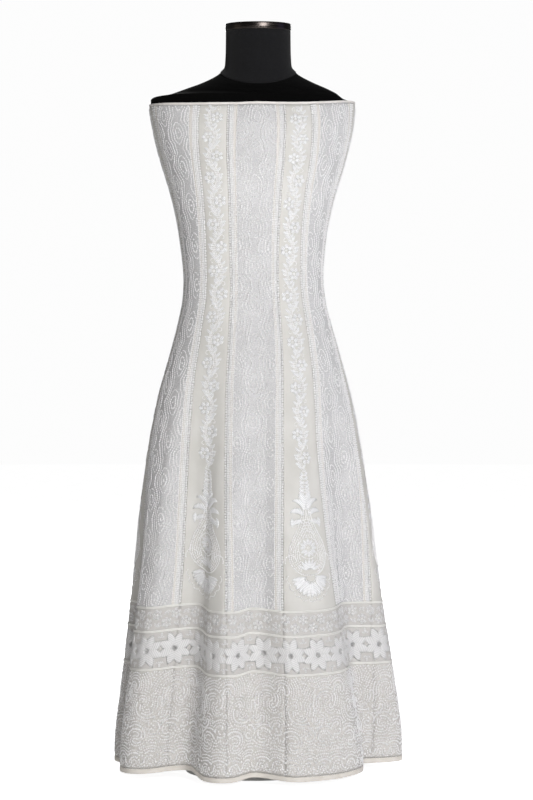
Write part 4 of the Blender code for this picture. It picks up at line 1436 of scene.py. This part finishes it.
def seam_beads(cloth):
    """Knots that cover each join between two kalis, down to the border."""
    up = np.arange(BORDER_TOP + 0.004, TOP_EDGE - 0.003, BEAD_PITCH)
    beads = Pattern(stitches=together(0.0, up, math.pi / 2, BEAD_LENGTH, BEAD_WIDTH))
    return [(beads, cloth.on_seam(seam)) for seam in range(2 * KALI_PAIRS)]


def ring_on_cloth(name, cloth, row, outline, columns, material, slot, *nodes):
    """A closed ring round the gown: its outline of (up, out) in metres is carried round one row."""
    column = np.linspace(0, cloth.firsts[-1], columns, endpoint=False)
    level = np.full(columns, row)
    base = cloth.at(column, level, np.zeros(columns))
    across = cloth.at(column, level, np.ones(columns)) - base
    up, out = (np.array(values)[:, None, None] for values in zip(*outline))
    points = base + up * np.array([0.0, 0.0, 1.0]) + out * across
    around = len(outline)
    turned = np.concatenate([points, points[:, :1]], axis=1)
    run = np.cumsum(np.linalg.norm(np.diff(turned[0], axis=0), axis=1))
    edge = np.array(outline + outline[:1])
    climb = np.concatenate([[0], np.cumsum(np.linalg.norm(np.diff(edge, axis=0), axis=1))])
    along = np.concatenate([[0], run])
    corners = [together(along[c], climb[r]) for r, c in ring_corners(around, columns)]
    uv = np.stack(corners, axis=2).reshape(-1, 2)
    faces = ring_faces(around, columns)
    ring = piece(name, points.reshape(-1, 3), [faces], MATERIALS[material], corner_uv=uv)
    return belongs(ring, slot, *nodes)


def rounded_strip(foot, top, inner, outer, edge):
    """Outline of a strip with rounded edges, from the middle of its top outwards and down."""
    high, wide = top - edge, outer - edge
    outline = [(top, 0.5 * (inner + outer))]
    outline += [(high + edge * math.cos(a), wide + edge * math.sin(a)) for a in EDGE_TURNS]
    outline.append((0.5 * (foot + top), outer + 0.25 * edge))
    low = foot + edge
    outline += [(low - edge * math.sin(a), wide + edge * math.cos(a)) for a in EDGE_TURNS]
    outline += [(foot, inner + edge), (low, inner), (high, inner), (top, inner + edge)]
    return outline


def round_cord():
    """Outline of a cord, from its top outwards and down."""
    turns = [2 * math.pi * number / CORD_SIDES for number in range(CORD_SIDES)]
    return [(CORD_RADIUS * math.cos(a), CORD_OUT + CORD_RADIUS * math.sin(a)) for a in turns]


def make_gown():
    """The twelve kalis, their needlework, the binding, the border's cords and the hem band."""
    cloth = Cloth()
    shells, loose = [], []
    for kali in range(2 * KALI_PAIRS):
        kind, pair = ("vine", "close_worked")[kali % 2 == 0], kali // 2 + 1
        shells.append(kali_shell(cloth, kali, f"{kind}_kali_{pair}"))
        place = cloth.on_kali(kali)
        if kind == "close_worked":
            patterns = [(jaal(cloth, kali), place)]
            work = needlework(cloth, f"jaal_{pair}", patterns, "close_worked_georgette", kali)
        else:
            drop = buta().moved(0, BUTA_FOOT, mirror=pair % 2 == 0)
            patterns = [(vine(kali), place), (drop, place)]
            work = needlework(cloth, f"vine_{pair}", patterns, "vine_georgette", kali)
        loose.append(work)
    beads = needlework(cloth, "seam_beads", seam_beads(cloth), "plain_georgette", 40)
    level = 0.5 * (BORDER_TOP + BORDER_FOOT)
    around, length = cloth.all_round(level)
    borders = [(flower_border(length), around), (small_flower_band(length), around)]
    flowers = needlework(cloth, "border_flowers", borders, "vine_georgette", 60, "soft_satin")
    around, length = cloth.all_round(0.5 * BORDER_FOOT)
    scrolls = needlework(cloth, "border_scrolls", [(scroll_border(length), around)],
                         "vine_georgette", 80)
    binding = ring_on_cloth(
        "turned_binding", cloth, TOP_EDGE,
        rounded_strip(SEAM_GAP, SEAM_GAP + BINDING_HEIGHT, *BINDING_FACES, STRIP_EDGE),
        RING_COLUMNS, "binding_georgette", "plain_georgette", "top_binding",
    )
    hem = ring_on_cloth(
        "turned_hem", cloth, PANEL_FOOT,
        rounded_strip(-SEAM_GAP - HEM_BAND_HEIGHT, -SEAM_GAP, *HEM_BAND_FACES, STRIP_EDGE),
        RING_COLUMNS, "plain_georgette", "plain_georgette", "hem_band",
    )
    for number, top in enumerate(TAPES_FROM_TOP, start=1):
        for place, down in CORD_DROPS.items():
            replaced = (f"border_tape_{number}",) if place == "upper" else ()
            ring_on_cloth(
                f"{place}_cord_{number}", cloth, top - down, round_cord(), CORD_COLUMNS, "cord",
                "plain_georgette", *replaced,
            )


# Form

FORM_AZIMUTHS = np.linspace(0, 2 * math.pi, FORM_SIDES, endpoint=False)
NECK_TURN = math.radians(VIEWED_AZIMUTH)
TORSO_TOP = 1.2140
TORSO_RINGS = 76
SHOULDER_RINGS = 40
NECK_LIP = 0.0012  # how far above the seam the neck starts to swell again
BAND_EDGE = 0.0005
# The cap's crown, from its middle out: share of its radius and how far it falls.
CAP_CROWN = (
    (0.30, 0.0), (0.70, 0.0), (0.90, -0.0001), (0.97, -0.0004), (0.99, -0.0008), (1.0, -0.0016),
)


def form_ring(half_width, front, back, squareness, centre, height, turn=0.0):
    """One level or dipped ring of the form: a squared oval whose front is turned to an azimuth."""
    radius = oval_radius(FORM_AZIMUTHS - turn, half_width, front, back, squareness)
    plan = radius[:, None] * outward(FORM_AZIMUTHS) + np.array(centre)
    return np.column_stack([plan, np.broadcast_to(height, FORM_SIDES)])


def front_share(turn):
    """1 at the front that is turned to an azimuth and 0 behind it, for a line that dips there."""
    return (0.5 + 0.5 * np.cos(FORM_AZIMUTHS - turn)) ** FRONT_DIP_FALL


def torso_rings():
    """The form from its foot to the seam at the neck: the gown's own sections drawn in by its wall
    and ease, and above the gown the shoulder's sections."""
    rings = []
    for height in np.linspace(FORM_BOTTOM, TORSO_TOP, TORSO_RINGS):
        sizes = read_all(GOWN_SECTIONS, height)
        inset = read(FORM_INSETS, "inset", height)
        rings.append(form_ring(
            sizes["half_width"] - inset, sizes["front"] - inset, sizes["back"] - inset,
            sizes["squareness"], (sizes["centre_x"], sizes["centre_y"]), height,
        ))
    low, high = SHOULDER_SECTIONS["height"][[0, -1]]
    for height in np.linspace(low, high, SHOULDER_RINGS):
        sizes = read_all(SHOULDER_SECTIONS, height)
        turn = NECK_TURN * ease(height, *SHOULDERS_TURNED)
        rings.append(form_ring(
            sizes["half_width"], sizes["front"], sizes["back"], sizes["squareness"],
            (0.0, sizes["centre"]), height - sizes["front_dip"] * front_share(turn), turn,
        ))
    return rings


def neck_ring(radius, front_dip, tilt, height):
    """One ring of the neck, which dips at the front and tilts forward."""
    level = height - front_dip * front_share(NECK_TURN) - tilt * np.cos(FORM_AZIMUTHS - NECK_TURN)
    return form_ring(radius, radius, radius, 2.0, (0.0, NECK_CENTRE), level)


def solid_through(name, rings, material, slot, *nodes):
    """A closed solid through rings given from its top down, with a fan at each end."""
    count = len(rings[0])
    points = np.concatenate([*rings, [rings[0].mean(axis=0)], [rings[-1].mean(axis=0)]])
    c = np.arange(count)
    n = (c + 1) % count
    last = (len(rings) - 1) * count
    crown, foot = len(points) - 2 + 0 * c, len(points) - 1 + 0 * c
    faces = [
        grid_faces(len(rings), count, closed_round=True),
        np.stack([crown, c, n], axis=-1),
        np.stack([foot, last + n, last + c], axis=-1),
    ]
    return belongs(piece(name, points, faces, MATERIALS[material]), slot, *nodes)


def make_form():
    """The limbless form: torso, neck, plated band and sunk cap."""
    rings = torso_rings()
    solid_through("torso", rings[::-1], "jersey", "black_jersey", "form_torso")

    seam = rings[-1] + np.array([0.0, 0.0, SEAM_GAP])
    middle = seam.mean(axis=0) * [1, 1, 0]
    groove = middle + (seam - middle) * [1 - NECK_GROOVE, 1 - NECK_GROOVE, 1.0]
    names = ("radius", "front_dip", "tilt", "height")
    keys = [seam + np.array([0.0, 0.0, NECK_LIP])]
    keys += [neck_ring(*row) for row in zip(*(NECK_SECTIONS[name] for name in names))]
    neck = [groove, *smooth_between(keys, 8)]
    solid_through("neck", neck[::-1], "neck_jersey", "neck_jersey", "form_neck")

    top, tilt = NECK_SECTIONS["height"][-1], NECK_SECTIONS["tilt"][-1]
    radius = NECK_SECTIONS["radius"][-1] + NECK_RING_PROUD
    band_foot, band_top = top + SEAM_GAP, top + SEAM_GAP + NECK_RING_HEIGHT
    outline = rounded_strip(band_foot, band_top, radius - NECK_RING_WALL, radius, BAND_EDGE)
    points = np.concatenate([neck_ring(out, 0.0, tilt, up) for up, out in outline])
    faces = ring_faces(len(outline), FORM_SIDES)
    belongs(piece("plated_band", points, [faces], MATERIALS["chrome"]), "dark_chrome", "neck_band")

    cap_radius = radius - NECK_RING_WALL - SEAM_GAP
    cap_top = band_top - NECK_CAP_SUNK
    cap = [neck_ring(share * cap_radius, 0.0, tilt, cap_top + drop) for share, drop in CAP_CROWN]
    cap.append(neck_ring(cap_radius, 0.0, tilt, band_foot))
    solid_through("sunk_cap", cap, "cap", "black_cap", "neck_cap")


def smooth_between(rings, steps):
    """More rings between the given ones, on a Catmull-Rom curve through them."""
    keys = [2 * rings[0] - rings[1], *rings, 2 * rings[-1] - rings[-2]]
    found = []
    for k in range(1, len(keys) - 2):
        before, start, end, after = keys[k - 1:k + 3]
        for s in np.arange(steps) / steps:
            found.append(0.5 * (
                2 * start + (end - before) * s + (2 * before - 5 * start + 4 * end - after) * s * s
                + (3 * start - before - 3 * end + after) * s ** 3
            ))
    return found + [rings[-1]]


def finish_stand():
    """The stand's own solids are fine enough to be seen, so they only take their finishes."""
    for name in ("base_plate", "base_hub", "pole", "pole_socket", "pole_flange", "bottom_board"):
        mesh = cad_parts[name].data
        mesh.materials.clear()
        mesh.materials.append(MATERIALS["board" if name == "bottom_board" else "steel"])


# Studio

CAMERA_DISTANCE = 4.2
CAMERA_HEIGHT = 0.672
CAMERA_ASIDE = 0.02145
LENS = 103.95
LIGHTS_AIM = 0.75
PAPER_RADII = (20.0, 6.0, 2.0, 0.6)
PAPER_SIDES = 96
PAPER_LEVEL = -0.0005
WORLD_SEEN = 0.98
WORLD_LIT = 0.08
# Azimuth, distance, height, size in metres, power in watts and colour of each light.
LIGHTS = {
    "key": (3.0, 4.6, 2.3, (1.8, 1.8), 192.0, "#FFFFFF"),
    "right_fill": (70.0, 3.2, 1.4, (1.6, 2.2), 3.5, "#BDB8FF"),
    "left_fill": (-92.0, 3.4, 1.2, (1.6, 2.2), 3.0, "#FFF0DC"),
    "overhead": (160.0, 1.2, 3.4, (2.6, 2.6), 6.0, "#FFFFFF"),
    "back_fill": (165.0, 4.6, 2.0, (2.4, 2.4), 105.0, "#FFFFFF"),
}


def make_camera():
    """A level camera at the height of the hips, seen from a little to the form's right."""
    data = bpy.data.cameras.new("camera")
    data.lens = LENS
    camera = bpy.data.objects.new("camera", data)
    turn = math.radians(VIEWED_AZIMUTH)
    away, aside = outward(np.array(turn)), sideways(np.array(turn))
    spot = CAMERA_DISTANCE * away + CAMERA_ASIDE * aside
    camera.location = (float(spot[0]), float(spot[1]), CAMERA_HEIGHT)
    camera.rotation_euler = (math.radians(90), 0, turn)
    bpy.context.scene.collection.objects.link(camera)
    bpy.context.scene.camera = camera


def area_light(name, azimuth, distance, height, size, power, colour):
    """A soft rectangular light, aimed at the gown and itself unseen."""
    data = bpy.data.lights.new(name, "AREA")
    data.shape = "RECTANGLE"
    data.size, data.size_y = size
    data.energy = power
    data.color = linear(colour)[:3]
    light = bpy.data.objects.new(name, data)
    away = outward(np.array(math.radians(azimuth))) * distance
    light.location = (float(away[0]), float(away[1]), height)
    drop = math.atan2(height - LIGHTS_AIM, distance)
    light.rotation_euler = (math.radians(90) - drop, 0, math.radians(azimuth))
    light.visible_camera = False
    bpy.context.scene.collection.objects.link(light)


def make_studio():
    """White paper under and behind the gown, a broad frontal key, a cool fill at the right, a warm
    one at the left, a weak light overhead and one that opens up the back."""
    turns = np.linspace(0, 2 * math.pi, PAPER_SIDES, endpoint=False)
    rings = [outward(turns) * radius for radius in PAPER_RADII]
    flat = np.concatenate([*rings, [[0.0, 0.0]]])
    points = np.column_stack([flat, np.full(len(flat), PAPER_LEVEL)])
    c = np.arange(PAPER_SIDES)
    n = (c + 1) % PAPER_SIDES
    firsts = PAPER_SIDES * np.arange(len(rings))
    quads = np.concatenate([
        together(a + c, a + n, b + n, b + c) for a, b in zip(firsts[:-1], firsts[1:])
    ])
    middle = together(firsts[-1] + c, firsts[-1] + n, len(flat) - 1)
    paper = piece("paper_floor", points, [quads, middle], studio_paper("white_studio_paper"))
    for name, values in LIGHTS.items():
        area_light(name, *values)
    world = bpy.data.worlds.new("studio")
    bpy.context.scene.world = world
    world.use_nodes = True
    tree = world.node_tree
    tree.nodes.clear()
    seen = add(tree, "ShaderNodeBackground", {"Color": (1, 1, 1, 1), "Strength": WORLD_SEEN})
    lit = add(tree, "ShaderNodeBackground", {"Color": (1, 1, 1, 1), "Strength": WORLD_LIT})
    by_camera = add(tree, "ShaderNodeLightPath").outputs["Is Camera Ray"]
    mixed = add(tree, "ShaderNodeMixShader", {0: by_camera, 1: lit, 2: seen})
    add(tree, "ShaderNodeOutputWorld", {"Surface": mixed})
    bpy.context.scene.view_settings.view_transform = "Standard"


make_gown()
make_form()
finish_stand()
make_camera()
make_studio()
